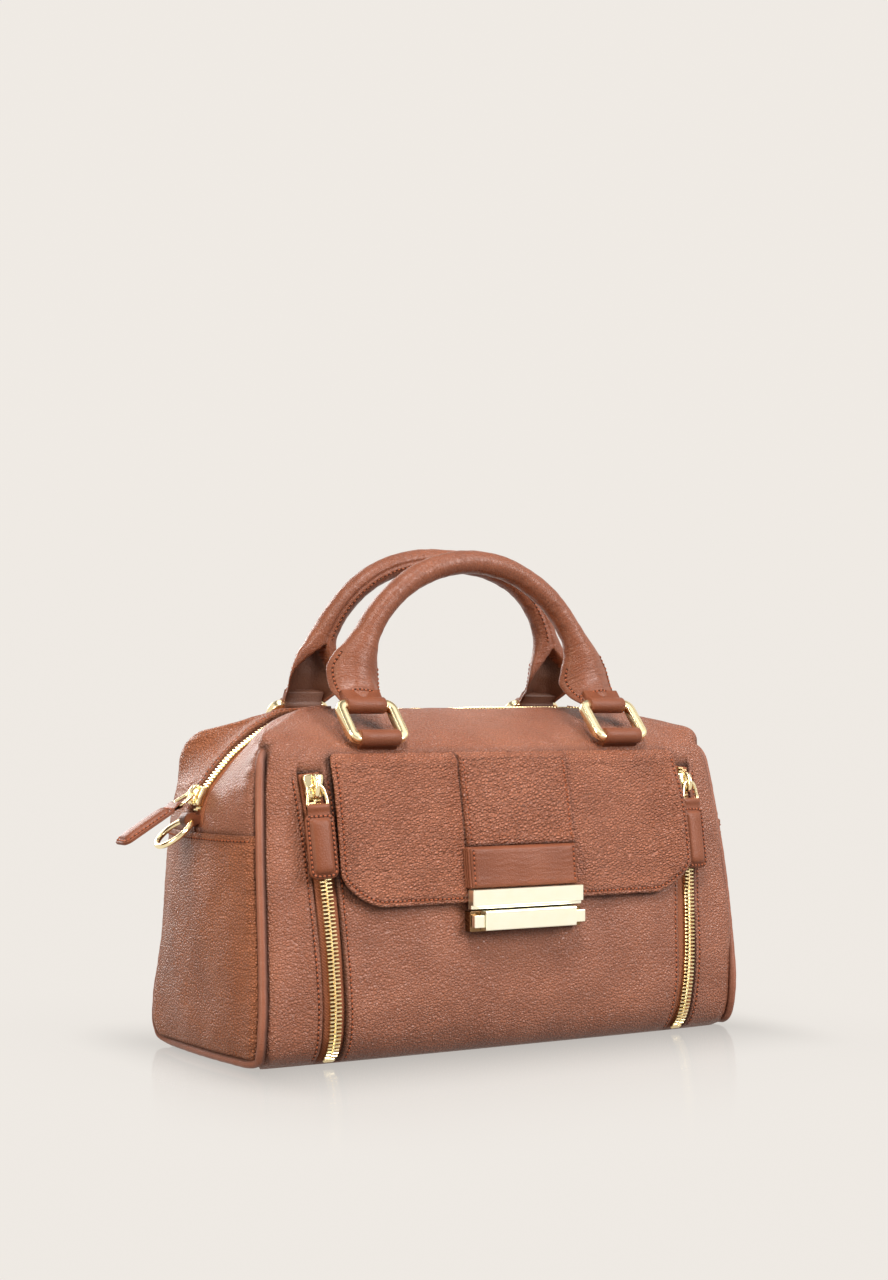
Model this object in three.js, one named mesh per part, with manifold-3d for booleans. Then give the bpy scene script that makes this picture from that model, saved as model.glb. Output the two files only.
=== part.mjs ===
import * as THREE from 'three';
import { mergeVertices } from 'three/addons/utils/BufferGeometryUtils.js';
import Module from 'manifold-3d';

const wasm = await Module();
wasm.setup();

// A small satchel: soft leather body with a top zip, a front flap with a bar lock, two front zips
// and two rolled handles. Millimetres, X along the bag, -Y the front, Z up, origin under the middle.

// Leather body
const wall = 2.2;
const clearance = 0.3;
const endPower = 2.4;
const facePower = 4;

// Outline of the body at each height: where its corners, the middles of its ends and of its faces lie
const bodySections = [
  { z: 0, cornerX: 139.6, cornerY: 45.5, endX: 142.0, faceY: 48.5, round: 4 },
  { z: 3, cornerX: 143.0, cornerY: 50.5, endX: 146.0, faceY: 54.0, round: 4 },
  { z: 8, cornerX: 143.7, cornerY: 54.6, endX: 148.2, faceY: 58.6, round: 4 },
  { z: 16, cornerX: 143.1, cornerY: 57.2, endX: 149.8, faceY: 61.6, round: 4 },
  { z: 30, cornerX: 141.7, cornerY: 58.0, endX: 150.8, faceY: 63.2, round: 4 },
  { z: 45, cornerX: 140.5, cornerY: 57.2, endX: 151.2, faceY: 63.0, round: 4 },
  { z: 71, cornerX: 139.0, cornerY: 55.2, endX: 151.4, faceY: 61.2, round: 4 },
  { z: 99, cornerX: 137.2, cornerY: 52.0, endX: 150.8, faceY: 58.2, round: 4 },
  { z: 115, cornerX: 135.6, cornerY: 49.4, endX: 149.6, faceY: 56.0, round: 4 },
  { z: 127, cornerX: 134.4, cornerY: 47.4, endX: 146.6, faceY: 54.0, round: 4 },
  { z: 145, cornerX: 132.4, cornerY: 44.6, endX: 132.6, faceY: 50.2, round: 5 },
  { z: 153, cornerX: 130.4, cornerY: 42.4, endX: 123.6, faceY: 45.2, round: 7 },
  { z: 158, cornerX: 128.2, cornerY: 38.8, endX: 117.0, faceY: 37.6, round: 9 },
  { z: 163, cornerX: 121.0, cornerY: 30.6, endX: 108.4, faceY: 28.2, round: 10 },
  { z: 167, cornerX: 108.0, cornerY: 20.0, endX: 98.2, faceY: 18.8, round: 8 },
  { z: 169.5, cornerX: 90.0, cornerY: 10.6, endX: 86.0, faceY: 10.8, round: 5 },
  { z: 170.4, cornerX: 78.0, cornerY: 7.2, endX: 77.0, faceY: 7.6, round: 3 },
];
const bodyLevels = [0, 1.5, 4, 9, 18, 34, 66, 110, 122, 132, 141, 149, 154, 158, 162, 165.5, 168.5, 170.4];
const endSteps = 3;
const cornerSteps = 2;
const faceSteps = 3;
const baseSeamY = 44;
const endSeamZ = 110;

// Cord piping round each end
const pipingRadius = 2.3;
const pipingInset = 1.4;
const seamDepth = 1.6;
const pipingBaseZ = 2.9;
const pipingHeights = [153, 145, 136, 127, 113, 95, 75, 50, 30, 19, 12, 7.5, 4.6];
const pipingSteps = 23;
const pipingSides = 6;

// Zips
const slotHalfWidth = 5.8;
const tapeHalfWidth = 5.4;
const chainHalfWidth = 3.1;
const tapeLow = -1.6;
const tapeHigh = -0.6;
const chainLow = -0.3;
const chainHigh = 1.3;
const topChainEndZ = 121;
const topSliderZ = 127;
const topPullLift = THREE.MathUtils.degToRad(40);
const topTabLength = 31;
const frontZipBaseX = 104.6;
const frontZipLean = 0.03;
const frontZipCurve = 0.0002;
const frontZipLowZ = 5;
const frontZipHighZ = 140;
const frontSliderZ = 133;
const frontPullLift = THREE.MathUtils.degToRad(3);
const frontTabLength = 30;
const slider = { halfWidth: 4.6, length: 10, high: 3.4, notchHalfWidth: 3.7, notchHigh: 1.7, low: -0.25 };
const bridge = { width: 2.4, halfLength: 4, high: 6.9, holeHalfLength: 2.6, holeLow: 3.7, holeHigh: 5.9 };
const link = { halfWidth: 4.4, length: 11.6, bar: 1.4, thick: 1.4, back: 0.7 };
const tab = { halfWidth: 7, neckHalfWidth: 2.2, neckLength: 3.4, thick: 3.6, round: 5, channel: 2.2 };

// Flap and lock
const flap = { halfWidth: 104.4, topZ: 149, lowZ: 75, round: 19, thick: 2.6, standTop: 0.4, standLow: 1.8 };
const flapFlatness = 0.35;
const strip = { halfWidth: 32.6, topZ: 148, lowZ: 102.5, thick: 1.3 };
const lockTab = { halfWidth: 32.3, topZ: 102.2, lowZ: 82, thick: 4.2 };
const lockPlate = { halfWidth: 33.1, topZ: 81.6, lowZ: 73.8, thick: 5.2, lipZ: 71.9, lipThick: 3.2 };
const lockBase = { halfWidth: 33.2, topZ: 71, lowZ: 61, thick: 5.4 };
const lockBar = { halfWidth: 27.2, topZ: 71.2, lowZ: 61.6, thick: 4.8, bevel: 0.6 };
const lockButton = { outX: 33.2, inX: 24, topZ: 69.2, lowZ: 63.2, thick: 3, travelRoom: 2.6 };

// Handles, their rings and the loops that hold them
const loopX = 73.6;
const lowerBarY = 48;
const lowerBarZ = 156.4;
const ringTilt = THREE.MathUtils.degToRad(42);
const ring = { width: 32, length: 25.4, windowWidth: 23.6, windowLength: 17.2, round: 5, depth: 3.8, bevel: 1 };
const barSpacing = (ring.length + ring.windowLength) / 2;
const loop = { width: 22.6, radius: 4.5, hole: 2.6 };
const handleBends = [
  { name: 'front', side: -1, rise: 74.5, roundness: 2, bend: 16, skew: 0 },
  { name: 'back', side: 1, rise: 77.2, roundness: 2.15, bend: 14, skew: 2 },
];
const bendLength = 14;

// Half width and half thickness of a handle along its leg, and how far its edges curl in, by the part
// of its rise
const handleSections = [
  { part: 0.075, width: 13.2, thick: 3.0, curl: 3.0 },
  { part: 0.13, width: 14.4, thick: 3.4, curl: 5.2 },
  { part: 0.22, width: 15.4, thick: 4.2, curl: 6.6 },
  { part: 0.31, width: 13.0, thick: 5.4, curl: 4.0 },
  { part: 0.41, width: 8.8, thick: 6.2, curl: 1.2 },
  { part: 0.51, width: 6.7, thick: 6.2, curl: 0 },
  { part: 0.67, width: 6.0, thick: 6.0, curl: 0 },
  { part: 1, width: 6.0, thick: 6.0, curl: 0 },
];
const handleParts = [0.075, 0.145, 0.22, 0.31, 0.41, 0.51, 0.64, 0.77, 0.88, 0.965, 1];
const handleSides = 10;

// Strap rings at the ends
const strapLoop = { width: 7, radius: 3.6, hole: 2.3, z: 115.5 };
const strapRing = { radius: 10, wire: 1.4, drop: THREE.MathUtils.degToRad(38) };

const leather = new THREE.MeshStandardMaterial({ color: 0xa06a50, roughness: 0.6, metalness: 0 });
const smoothLeather = new THREE.MeshStandardMaterial({ color: 0x9a6048, roughness: 0.5, metalness: 0 });
const tapeCloth = new THREE.MeshStandardMaterial({ color: 0x9c5a34, roughness: 0.9, metalness: 0 });
const gold = new THREE.MeshStandardMaterial({ color: 0xe6cf94, roughness: 0.2, metalness: 1 });

const satchel = new THREE.Group();

function addPiece(name, geometry, material, parent = satchel) {
  geometry.computeVertexNormals();
  const piece = new THREE.Mesh(geometry, material);
  piece.name = name;
  parent.add(piece);
  return piece;
}

// Slope-limited cubic through the rows of a table, for every column at once
function tableAt(rows, key, value) {
  const last = rows.length - 1;
  const at = THREE.MathUtils.clamp(value, rows[0][key], rows[last][key]);
  let i = 0;
  while (i < last - 1 && at > rows[i + 1][key]) i += 1;
  const result = {};
  for (const column of Object.keys(rows[0])) {
    const slope = (k) => (rows[k + 1][column] - rows[k][column]) / (rows[k + 1][key] - rows[k][key]);
    const tangent = (k) => {
      if (k === 0) return slope(0);
      if (k === last) return slope(last - 1);
      const before = slope(k - 1);
      const after = slope(k);
      return before * after <= 0 ? 0 : (2 * before * after) / (before + after);
    };
    const span = rows[i + 1][key] - rows[i][key];
    const t = (at - rows[i][key]) / span;
    const t2 = t * t;
    const t3 = t2 * t;
    result[column] = (2 * t3 - 3 * t2 + 1) * rows[i][column] + (t3 - 2 * t2 + t) * span * tangent(i)
      + (3 * t2 - 2 * t3) * rows[i + 1][column] + (t3 - t2) * span * tangent(i + 1);
  }
  return result;
}

const sectionAt = (z) => tableAt(bodySections, 'z', z);

// Distance of the front or back face from the middle plane
function faceAt(x, z) {
  const s = sectionAt(z);
  return s.faceY - (s.faceY - s.cornerY) * Math.pow(Math.min(1, Math.abs(x) / s.cornerX), facePower);
}

// Geometry helpers

function geometryFrom(points, triangles) {
  const geometry = new THREE.BufferGeometry();
  geometry.setAttribute('position', new THREE.Float32BufferAttribute(points.flatMap((p) => [p.x, p.y, p.z]), 3));
  geometry.setIndex(triangles);
  return facingOut(geometry);
}

function facingOut(geometry) {
  const p = geometry.attributes.position;
  const index = geometry.index.array;
  const a = new THREE.Vector3();
  const b = new THREE.Vector3();
  const c = new THREE.Vector3();
  let volume = 0;
  for (let i = 0; i < index.length; i += 3) {
    a.fromBufferAttribute(p, index[i]);
    b.fromBufferAttribute(p, index[i + 1]);
    c.fromBufferAttribute(p, index[i + 2]);
    volume += a.dot(b.cross(c));
  }
  if (volume < 0) {
    for (let i = 0; i < index.length; i += 3) [index[i], index[i + 1]] = [index[i + 1], index[i]];
  }
  return geometry;
}

// Closed skin over rings of points, each end closed by a fan round its middle
function loft(rings) {
  const count = rings[0].length;
  const points = rings.flat();
  const triangles = [];
  for (let r = 0; r < rings.length - 1; r += 1) {
    for (let k = 0; k < count; k += 1) {
      const next = (k + 1) % count;
      const a = r * count + k;
      const b = r * count + next;
      triangles.push(a, b, b + count, a, b + count, a + count);
    }
  }
  const close = (ring, start, flip) => {
    const middle = new THREE.Vector3();
    ring.forEach((p) => middle.addScaledVector(p, 1 / count));
    points.push(middle);
    const centre = points.length - 1;
    for (let k = 0; k < count; k += 1) {
      const next = (k + 1) % count;
      triangles.push(centre, start + (flip ? next : k), start + (flip ? k : next));
    }
  };
  close(rings[0], 0, true);
  close(rings[rings.length - 1], (rings.length - 1) * count, false);
  return geometryFrom(points, triangles);
}

function toSolid(geometry) {
  const bare = geometry.clone();
  bare.deleteAttribute('normal');
  bare.deleteAttribute('uv');
  const merged = mergeVertices(bare, 1e-4);
  return new wasm.Manifold(new wasm.Mesh({
    numProp: 3,
    vertProperties: new Float32Array(merged.attributes.position.array),
    triVerts: new Uint32Array(merged.index.array),
  }));
}

function toGeometry(solid) {
  const data = solid.getMesh();
  const geometry = new THREE.BufferGeometry();
  const points = new Float32Array(data.numVert * 3);
  for (let i = 0; i < data.numVert; i += 1) {
    for (let k = 0; k < 3; k += 1) points[i * 3 + k] = data.vertProperties[i * data.numProp + k];
  }
  geometry.setAttribute('position', new THREE.BufferAttribute(points, 3));
  geometry.setIndex(Array.from(data.triVerts));
  return geometry;
}

function box(x0, x1, y0, y1, z0, z1) {
  return new THREE.BoxGeometry(x1 - x0, y1 - y0, z1 - z0)
    .translate((x0 + x1) / 2, (y0 + y1) / 2, (z0 + z1) / 2);
}

function rodAlongX(radius, width, x, y, z, sides = 12) {
  return new THREE.CylinderGeometry(radius, radius, width, sides).rotateZ(Math.PI / 2).translate(x, y, z);
}

function rodAlongY(radius, width, x, y, z, sides = 12) {
  return new THREE.CylinderGeometry(radius, radius, width, sides).translate(x, y, z);
}

function roundedRectangle(halfWidth, low, high, round, target = new THREE.Shape()) {
  target.moveTo(-halfWidth + round, low);
  target.lineTo(halfWidth - round, low);
  target.quadraticCurveTo(halfWidth, low, halfWidth, low + round);
  target.lineTo(halfWidth, high - round);
  target.quadraticCurveTo(halfWidth, high, halfWidth - round, high);
  target.lineTo(-halfWidth + round, high);
  target.quadraticCurveTo(-halfWidth, high, -halfWidth, high - round);
  target.lineTo(-halfWidth, low + round);
  target.quadraticCurveTo(-halfWidth, low, -halfWidth + round, low);
  return target;
}

// Flat band along a row of frames, between two heights above their points
function band(frames, halfWidth, low, high) {
  return loft(frames.map(({ point, side, normal }) => [[-1, low], [1, low], [1, high], [-1, high]]
    .map(([s, h]) => point.clone().addScaledVector(side, s * halfWidth).addScaledVector(normal, h))));
}

// Plate over a grid of (x, z) places, its inner and outer faces at the given distances to the front
function frontPlate(heights, halfWidthAt, columns, innerAt, outerAt) {
  return loft(heights.map((z) => {
    const inner = [];
    const outer = [];
    for (let k = 0; k <= columns; k += 1) {
      const x = halfWidthAt(z) * (2 * k / columns - 1);
      inner.push(new THREE.Vector3(x, -innerAt(x, z), z));
      outer.unshift(new THREE.Vector3(x, -outerAt(x, z), z));
    }
    return [...inner, ...outer];
  }));
}

function steps(from, to, count) {
  return Array.from({ length: count + 1 }, (_, k) => from + (to - from) * k / count);
}

// Body shell, cut along its seams into separate leather panels

function bodyOutline(z) {
  const s = sectionAt(z);
  const endX = (y) => s.endX - (s.endX - s.cornerX) * Math.pow(y / s.cornerY, endPower);
  const faceY = (x) => s.faceY - (s.faceY - s.cornerY) * Math.pow(Math.abs(x) / s.cornerX, facePower);
  const lastY = s.cornerY - Math.min(s.round, s.cornerY * 0.6);
  const lastX = s.cornerX - s.round;
  const quarter = steps(0, lastY, endSteps).map((y) => new THREE.Vector2(endX(y), y));
  const bend = new THREE.QuadraticBezierCurve(
    new THREE.Vector2(endX(lastY), lastY),
    new THREE.Vector2(s.cornerX, s.cornerY),
    new THREE.Vector2(lastX, faceY(lastX)),
  );
  quarter.push(...bend.getPoints(cornerSteps).slice(1));
  quarter.push(...steps(lastX, 0, faceSteps).slice(1).map((x) => new THREE.Vector2(x, faceY(x))));
  const half = [...quarter, ...quarter.slice(0, -1).reverse().map((p) => new THREE.Vector2(-p.x, p.y))];
  const front = half.slice(1, -1).reverse().map((p) => new THREE.Vector2(p.x, -p.y));
  return [...half, ...front].map((p) => new THREE.Vector3(p.x, p.y, z));
}

function bodySolid(offset) {
  const geometry = loft(bodyLevels.map(bodyOutline));
  geometry.computeVertexNormals();
  const { position, normal } = geometry.attributes;
  for (let i = 0; i < position.count; i += 1) {
    position.setXYZ(
      i,
      position.getX(i) + normal.getX(i) * offset,
      position.getY(i) + normal.getY(i) * offset,
      position.getZ(i) + normal.getZ(i) * offset,
    );
  }
  return toSolid(geometry);
}

function pipingCurve(side, inset = pipingInset) {
  const corner = (z, ySide) => {
    const s = sectionAt(z);
    return new THREE.Vector3(side * (s.cornerX - inset), ySide * (s.cornerY - inset), z);
  };
  const low = sectionAt(pipingBaseZ);
  const along = [-0.86, -0.6, -0.3, 0, 0.3, 0.6, 0.86].map((t) => {
    const bulge = (low.endX - low.cornerX) * (1 - t * t);
    return new THREE.Vector3(side * (low.cornerX - inset + bulge), t * low.cornerY, pipingBaseZ - pipingInset + inset);
  });
  return new THREE.CatmullRomCurve3([
    ...pipingHeights.map((z) => corner(z, -1)),
    ...along,
    ...[...pipingHeights].reverse().map((z) => corner(z, 1)),
  ], false, 'centripetal');
}

function cord(curve, radius, sides, count) {
  const section = new THREE.Shape();
  for (let k = 0; k < sides; k += 1) {
    const angle = 2 * Math.PI * k / sides;
    const x = radius * Math.cos(angle);
    const y = radius * Math.sin(angle);
    if (k === 0) section.moveTo(x, y);
    else section.lineTo(x, y);
  }
  section.closePath();
  return new THREE.ExtrudeGeometry(section, { steps: count, extrudePath: curve, bevelEnabled: false });
}

const frontZipX = (z) => frontZipBaseX + frontZipLean * z + frontZipCurve * z * z;

function frontFrame(x, z, along) {
  const point = new THREE.Vector3(x, -faceAt(x, z), z);
  const acrossStep = new THREE.Vector3(1, -(faceAt(x + 0.5, z) - faceAt(x - 0.5, z)), 0);
  const upStep = new THREE.Vector3(along, -(faceAt(x + along * 0.5, z + 0.5) - faceAt(x - along * 0.5, z - 0.5)), 1);
  const up = upStep.normalize();
  const normal = acrossStep.cross(up).normalize();
  const side = up.clone().cross(normal).normalize();
  return { point, side, up, normal };
}

function frontSlotCut(side) {
  const rows = [frontZipLowZ, 30, 60, 90, 115, frontZipHighZ].map((z) => {
    const x = side * frontZipX(z);
    return [[-1, -90], [1, -90], [1, -30], [-1, -30]]
      .map(([s, y]) => new THREE.Vector3(x + s * slotHalfWidth, y, z));
  });
  return toSolid(loft(rows));
}

const outer = bodySolid(0);
const clearBody = bodySolid(clearance);
let shell = outer.subtract(bodySolid(-wall));
shell = shell.subtract(toSolid(box(-200, 200, -slotHalfWidth, slotHalfWidth, endSeamZ, 200)));
for (const side of [-1, 1]) {
  shell = shell.subtract(toSolid(cord(pipingCurve(side), pipingRadius + clearance, pipingSides, pipingSteps)));
  shell = shell.subtract(toSolid(cord(pipingCurve(side, pipingInset + seamDepth), pipingRadius, 4, pipingSteps)));
  shell = shell.subtract(frontSlotCut(side));
  const seamInX = side * (sectionAt(endSeamZ).cornerX - pipingInset);
  const seamOutX = side * 170;
  const seamHalf = sectionAt(endSeamZ).cornerY;
  const seam = box(Math.min(seamInX, seamOutX), Math.max(seamInX, seamOutX), -seamHalf, seamHalf,
    endSeamZ - clearance, endSeamZ);
  shell = shell.subtract(toSolid(seam));
  const slit = side * baseSeamY;
  shell = shell.subtract(toSolid(box(-160, 160, slit - clearance / 2, slit + clearance / 2, -5, 8)));
}
for (const panel of shell.decompose()) {
  const bounds = panel.boundingBox();
  const middle = new THREE.Vector3().fromArray(bounds.min).add(new THREE.Vector3().fromArray(bounds.max));
  middle.multiplyScalar(0.5);
  let name = 'base_panel';
  if (Math.abs(middle.x) > 100) name = middle.x < 0 ? 'end_panel_left' : 'end_panel_right';
  else if (Math.abs(middle.y) > 10) name = middle.y < 0 ? 'front_panel' : 'back_panel';
  addPiece(name, toGeometry(panel), leather);
}
for (const [name, side] of [['piping_left', -1], ['piping_right', 1]]) {
  addPiece(name, cord(pipingCurve(side), pipingRadius, pipingSides, pipingSteps), leather);
}

// Zip pulls: slider, wire link and leather tab in a frame with Y up along the zip and Z outwards

function zipPull(prefix, frame, lift, tabLength) {
  const group = new THREE.Group();
  const up = frame.normal.clone().cross(frame.side).normalize();
  group.applyMatrix4(new THREE.Matrix4().makeBasis(frame.side, up, frame.normal));
  group.position.copy(frame.point);
  satchel.add(group);

  const saddle = toSolid(box(-slider.halfWidth, slider.halfWidth, -slider.length / 2, slider.length / 2,
    slider.low, slider.high));
  const notch = toSolid(box(-slider.notchHalfWidth, slider.notchHalfWidth, -slider.length, slider.length,
    slider.low - 1, slider.notchHigh));
  const arch = toSolid(box(-bridge.width / 2, bridge.width / 2, -bridge.halfLength, bridge.halfLength,
    slider.high - 0.5, bridge.high));
  const eye = toSolid(box(-bridge.width, bridge.width, -bridge.holeHalfLength, bridge.holeHalfLength,
    bridge.holeLow, bridge.holeHigh));
  addPiece(`${prefix}_slider`, toGeometry(saddle.add(arch).subtract(notch).subtract(eye)), gold, group);

  const pull = new THREE.Group();
  pull.position.z = (bridge.holeLow + bridge.holeHigh) / 2;
  pull.rotation.x = -lift;
  group.add(pull);

  const frameShape = roundedRectangle(link.halfWidth, link.back - link.length, link.back, 3);
  frameShape.holes.push(roundedRectangle(link.halfWidth - link.bar, link.back - link.length + link.bar,
    link.back - link.bar, 1, new THREE.Path()));
  const wire = new THREE.ExtrudeGeometry(frameShape, { depth: link.thick, bevelEnabled: false, curveSegments: 3 });
  addPiece(`${prefix}_link`, wire.translate(0, 0, -link.thick / 2), gold, pull);

  const lowBarY = link.back - link.length + link.bar / 2;
  const neckTop = lowBarY + tab.neckLength - 0.6;
  const neckLow = lowBarY - tab.neckLength;
  const body = new THREE.ExtrudeGeometry(
    roundedRectangle(tab.halfWidth, neckLow - tabLength, neckLow, tab.round),
    { depth: tab.thick, bevelEnabled: false, curveSegments: 3 },
  ).translate(0, 0, -tab.thick / 2);
  const neck = toSolid(box(-tab.neckHalfWidth, tab.neckHalfWidth, neckLow - 2, neckTop, -tab.thick / 2, tab.thick / 2));
  const half = tab.channel / 2;
  const channel = toSolid(box(-9, 9, lowBarY - half, lowBarY + half, -half, half));
  addPiece(`${prefix}_tab`, toGeometry(toSolid(body).add(neck).subtract(channel)), smoothLeather, pull);
}

for (const [prefix, side] of [['left_zip', -1], ['right_zip', 1]]) {
  const frames = [5.6, 8, 11.5, 17, 30, 45, 60, 90, 115, 139.6]
    .map((z) => frontFrame(side * frontZipX(z), z, side * (frontZipLean + 2 * frontZipCurve * z)));
  addPiece(`${prefix}_tape`, band(frames, tapeHalfWidth, tapeLow, tapeHigh), tapeCloth);
  addPiece(`${prefix}_chain`, band(frames.slice(1), chainHalfWidth, chainLow, chainHigh), gold);
  zipPull(prefix, frontFrame(side * frontZipX(frontSliderZ), frontSliderZ, 0), frontPullLift, frontTabLength);
}

// Top zip, up one end, over the top and down the other
function topFrames(lowZ) {
  const rising = bodyLevels.filter((z) => z > lowZ + 1);
  const left = [lowZ, ...rising].map((z) => new THREE.Vector3(-sectionAt(z).endX, 0, z));
  const right = [...left].reverse().map((p) => new THREE.Vector3(-p.x, 0, p.z));
  const points = [...left, new THREE.Vector3(0, 0, 170.6), ...right];
  return points.map((point, k) => {
    const before = points[Math.max(0, k - 1)];
    const after = points[Math.min(points.length - 1, k + 1)];
    const along = after.clone().sub(before).normalize();
    const side = new THREE.Vector3(0, -1, 0);
    return { point, side, up: along, normal: side.clone().cross(along).normalize() };
  });
}
const outwards = (frame) => (frame.normal.z < 0 ? { ...frame, normal: frame.normal.clone().negate() } : frame);
addPiece('top_zip_tape', band(topFrames(endSeamZ + clearance).map(outwards), tapeHalfWidth, tapeLow, tapeHigh), tapeCloth);
addPiece('top_zip_chain', band(topFrames(topChainEndZ).map(outwards), chainHalfWidth, chainLow, chainHigh), gold);

const sliderStep = 3;
const lowPoint = new THREE.Vector3(-sectionAt(topSliderZ - sliderStep).endX, 0, topSliderZ - sliderStep);
const highPoint = new THREE.Vector3(-sectionAt(topSliderZ + sliderStep).endX, 0, topSliderZ + sliderStep);
const zipUp = highPoint.clone().sub(lowPoint).normalize();
const zipOut = new THREE.Vector3(-zipUp.z, 0, zipUp.x);
zipPull('top_zip', {
  point: new THREE.Vector3(-sectionAt(topSliderZ).endX, 0, topSliderZ),
  side: zipUp.clone().cross(zipOut).normalize(),
  normal: zipOut,
}, topPullLift, topTabLength);

// Flap: a flat-lying leather sheet with round lower corners, a middle strip and the lock's upper half

const flapInner = (x, z) => {
  const drop = (flap.topZ - z) / (flap.topZ - flap.lowZ);
  const middle = faceAt(0, z);
  return middle - flapFlatness * (middle - faceAt(x, z)) + THREE.MathUtils.lerp(flap.standTop, flap.standLow, drop);
};
const flapOuter = (x, z) => flapInner(x, z) + flap.thick;
const flapHalfWidth = (z) => {
  const up = Math.min(flap.round, z - flap.lowZ);
  return flap.halfWidth - flap.round + Math.sqrt(flap.round ** 2 - (flap.round - up) ** 2);
};
const flapHeights = [75, 75.6, 77, 79, 82, 87, 94, 102.5, 112, 122, 132, 141, 145, 148, 149];
const flapHeightsBetween = (low, high) => [low, ...flapHeights.filter((z) => z > low && z < high), high];
addPiece('flap', frontPlate(flapHeights, flapHalfWidth, 6, flapInner, flapOuter), leather);

const onFlap = (height) => (x, z) => flapOuter(x, z) + height;
addPiece('flap_strip', frontPlate(flapHeightsBetween(strip.lowZ, strip.topZ), () => strip.halfWidth, 4,
  onFlap(clearance), onFlap(clearance + strip.thick)), leather);
addPiece('lock_tab', frontPlate(flapHeightsBetween(lockTab.lowZ, lockTab.topZ), () => lockTab.halfWidth, 4,
  onFlap(clearance), onFlap(clearance + lockTab.thick)), smoothLeather);

const plateBack = flapOuter(0, lockPlate.lowZ + 1.2) + clearance;
const plate = toSolid(box(-lockPlate.halfWidth, lockPlate.halfWidth, -plateBack - lockPlate.thick, -plateBack,
  lockPlate.lowZ, lockPlate.topZ));
const lip = toSolid(box(-lockPlate.halfWidth, lockPlate.halfWidth, -plateBack - lockPlate.lipThick, -plateBack,
  lockPlate.lipZ, lockPlate.lowZ + 1));
addPiece('lock_plate', toGeometry(plate.add(lip)), gold);

// Lower half of the lock on the front panel, with a press button at each end of its bar
const baseFront = faceAt(0, lockBase.lowZ) + clearance + lockBase.thick;
const lockBlock = toSolid(box(-lockBase.halfWidth, lockBase.halfWidth, -baseFront, -40, lockBase.lowZ, lockBase.topZ));
addPiece('lock_base', toGeometry(lockBlock.subtract(clearBody)), gold);

const barBack = baseFront + clearance;
const barShape = roundedRectangle(lockBar.thick / 2, lockBar.lowZ, lockBar.topZ, lockBar.bevel);
const barGeometry = new THREE.ExtrudeGeometry(barShape, { depth: 2 * lockBar.halfWidth, bevelEnabled: false, curveSegments: 2 })
  .applyMatrix4(new THREE.Matrix4().makeBasis(
    new THREE.Vector3(0, -1, 0),
    new THREE.Vector3(0, 0, 1),
    new THREE.Vector3(-1, 0, 0),
  ))
  .translate(lockBar.halfWidth, -barBack - lockBar.thick / 2, 0);
const buttonBack = barBack + (lockBar.thick - lockButton.thick) / 2;
let barSolid = toSolid(barGeometry);
for (const [name, side] of [['lock_button_left', -1], ['lock_button_right', 1]]) {
  const inX = side * lockButton.inX;
  const outX = side * lockButton.outX;
  const holeX = side * (lockButton.inX - lockButton.travelRoom);
  const openX = side * (lockBar.halfWidth + 2);
  barSolid = barSolid.subtract(toSolid(box(Math.min(holeX, openX), Math.max(holeX, openX),
    -buttonBack - lockButton.thick - clearance, -buttonBack + clearance,
    lockButton.lowZ - clearance, lockButton.topZ + clearance)));
  addPiece(name, box(Math.min(inX, outX), Math.max(inX, outX), -buttonBack - lockButton.thick, -buttonBack,
    lockButton.lowZ, lockButton.topZ), gold);
}
addPiece('lock_bar', toGeometry(barSolid), gold);

// Handles: rolled leather arches that flare into tabs sewn round the upper bars of four rings

function handlePath(part, footSide, { side, rise, roundness, bend, skew }) {
  const barY = lowerBarY - barSpacing * Math.sin(ringTilt);
  const barZ = lowerBarZ + barSpacing * Math.cos(ringTilt);
  const x = footSide * (loopX - 1) * Math.pow(Math.max(0, 1 - part ** roundness), 1 / roundness);
  const inward = (bend + skew * x / loopX) * (1 - Math.exp(-part * rise / bendLength));
  return new THREE.Vector3(x, side * (barY - inward), barZ + part * rise);
}

function handleGeometry(row) {
  const stations = [
    ...handleParts.map((part) => ({ part, footSide: -1 })),
    ...handleParts.slice(0, -1).reverse().map((part) => ({ part, footSide: 1 })),
  ];
  const places = stations.map(({ part, footSide }) => handlePath(part, footSide, row));
  const rings = stations.map(({ part }, k) => {
    const along = places[Math.min(places.length - 1, k + 1)].clone().sub(places[Math.max(0, k - 1)]).normalize();
    const across = new THREE.Vector3(0, 1, 0).cross(along).normalize();
    const through = along.clone().cross(across).normalize();
    const s = tableAt(handleSections, 'part', part);
    return Array.from({ length: handleSides }, (_, i) => {
      const angle = 2 * Math.PI * i / handleSides;
      const curl = -row.side * s.curl * Math.cos(angle) ** 2;
      return places[k].clone().addScaledVector(across, s.width * Math.cos(angle))
        .addScaledVector(through, s.thick * Math.sin(angle) + curl);
    });
  });
  let solid = toSolid(loft(rings));
  for (const footSide of [-1, 1]) {
    const bar = handlePath(0, footSide, row);
    const x = footSide * loopX;
    const foot = handlePath(handleParts[0] + 0.03, footSide, row);
    const tiltBack = Math.atan2(foot.y - bar.y, foot.z - bar.z);
    const reach = Math.hypot(foot.y - bar.y, foot.z - bar.z);
    const strap = new THREE.BoxGeometry(loop.width, 5, reach).translate(0, 0, reach / 2)
      .rotateX(-tiltBack).translate(x, bar.y, bar.z);
    solid = solid.add(toSolid(strap)).add(toSolid(rodAlongX(loop.radius, loop.width, x, bar.y, bar.z)));
    solid = solid.subtract(toSolid(rodAlongX(loop.hole, loop.width + 2, x, bar.y, bar.z)));
  }
  return toGeometry(solid);
}

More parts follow.
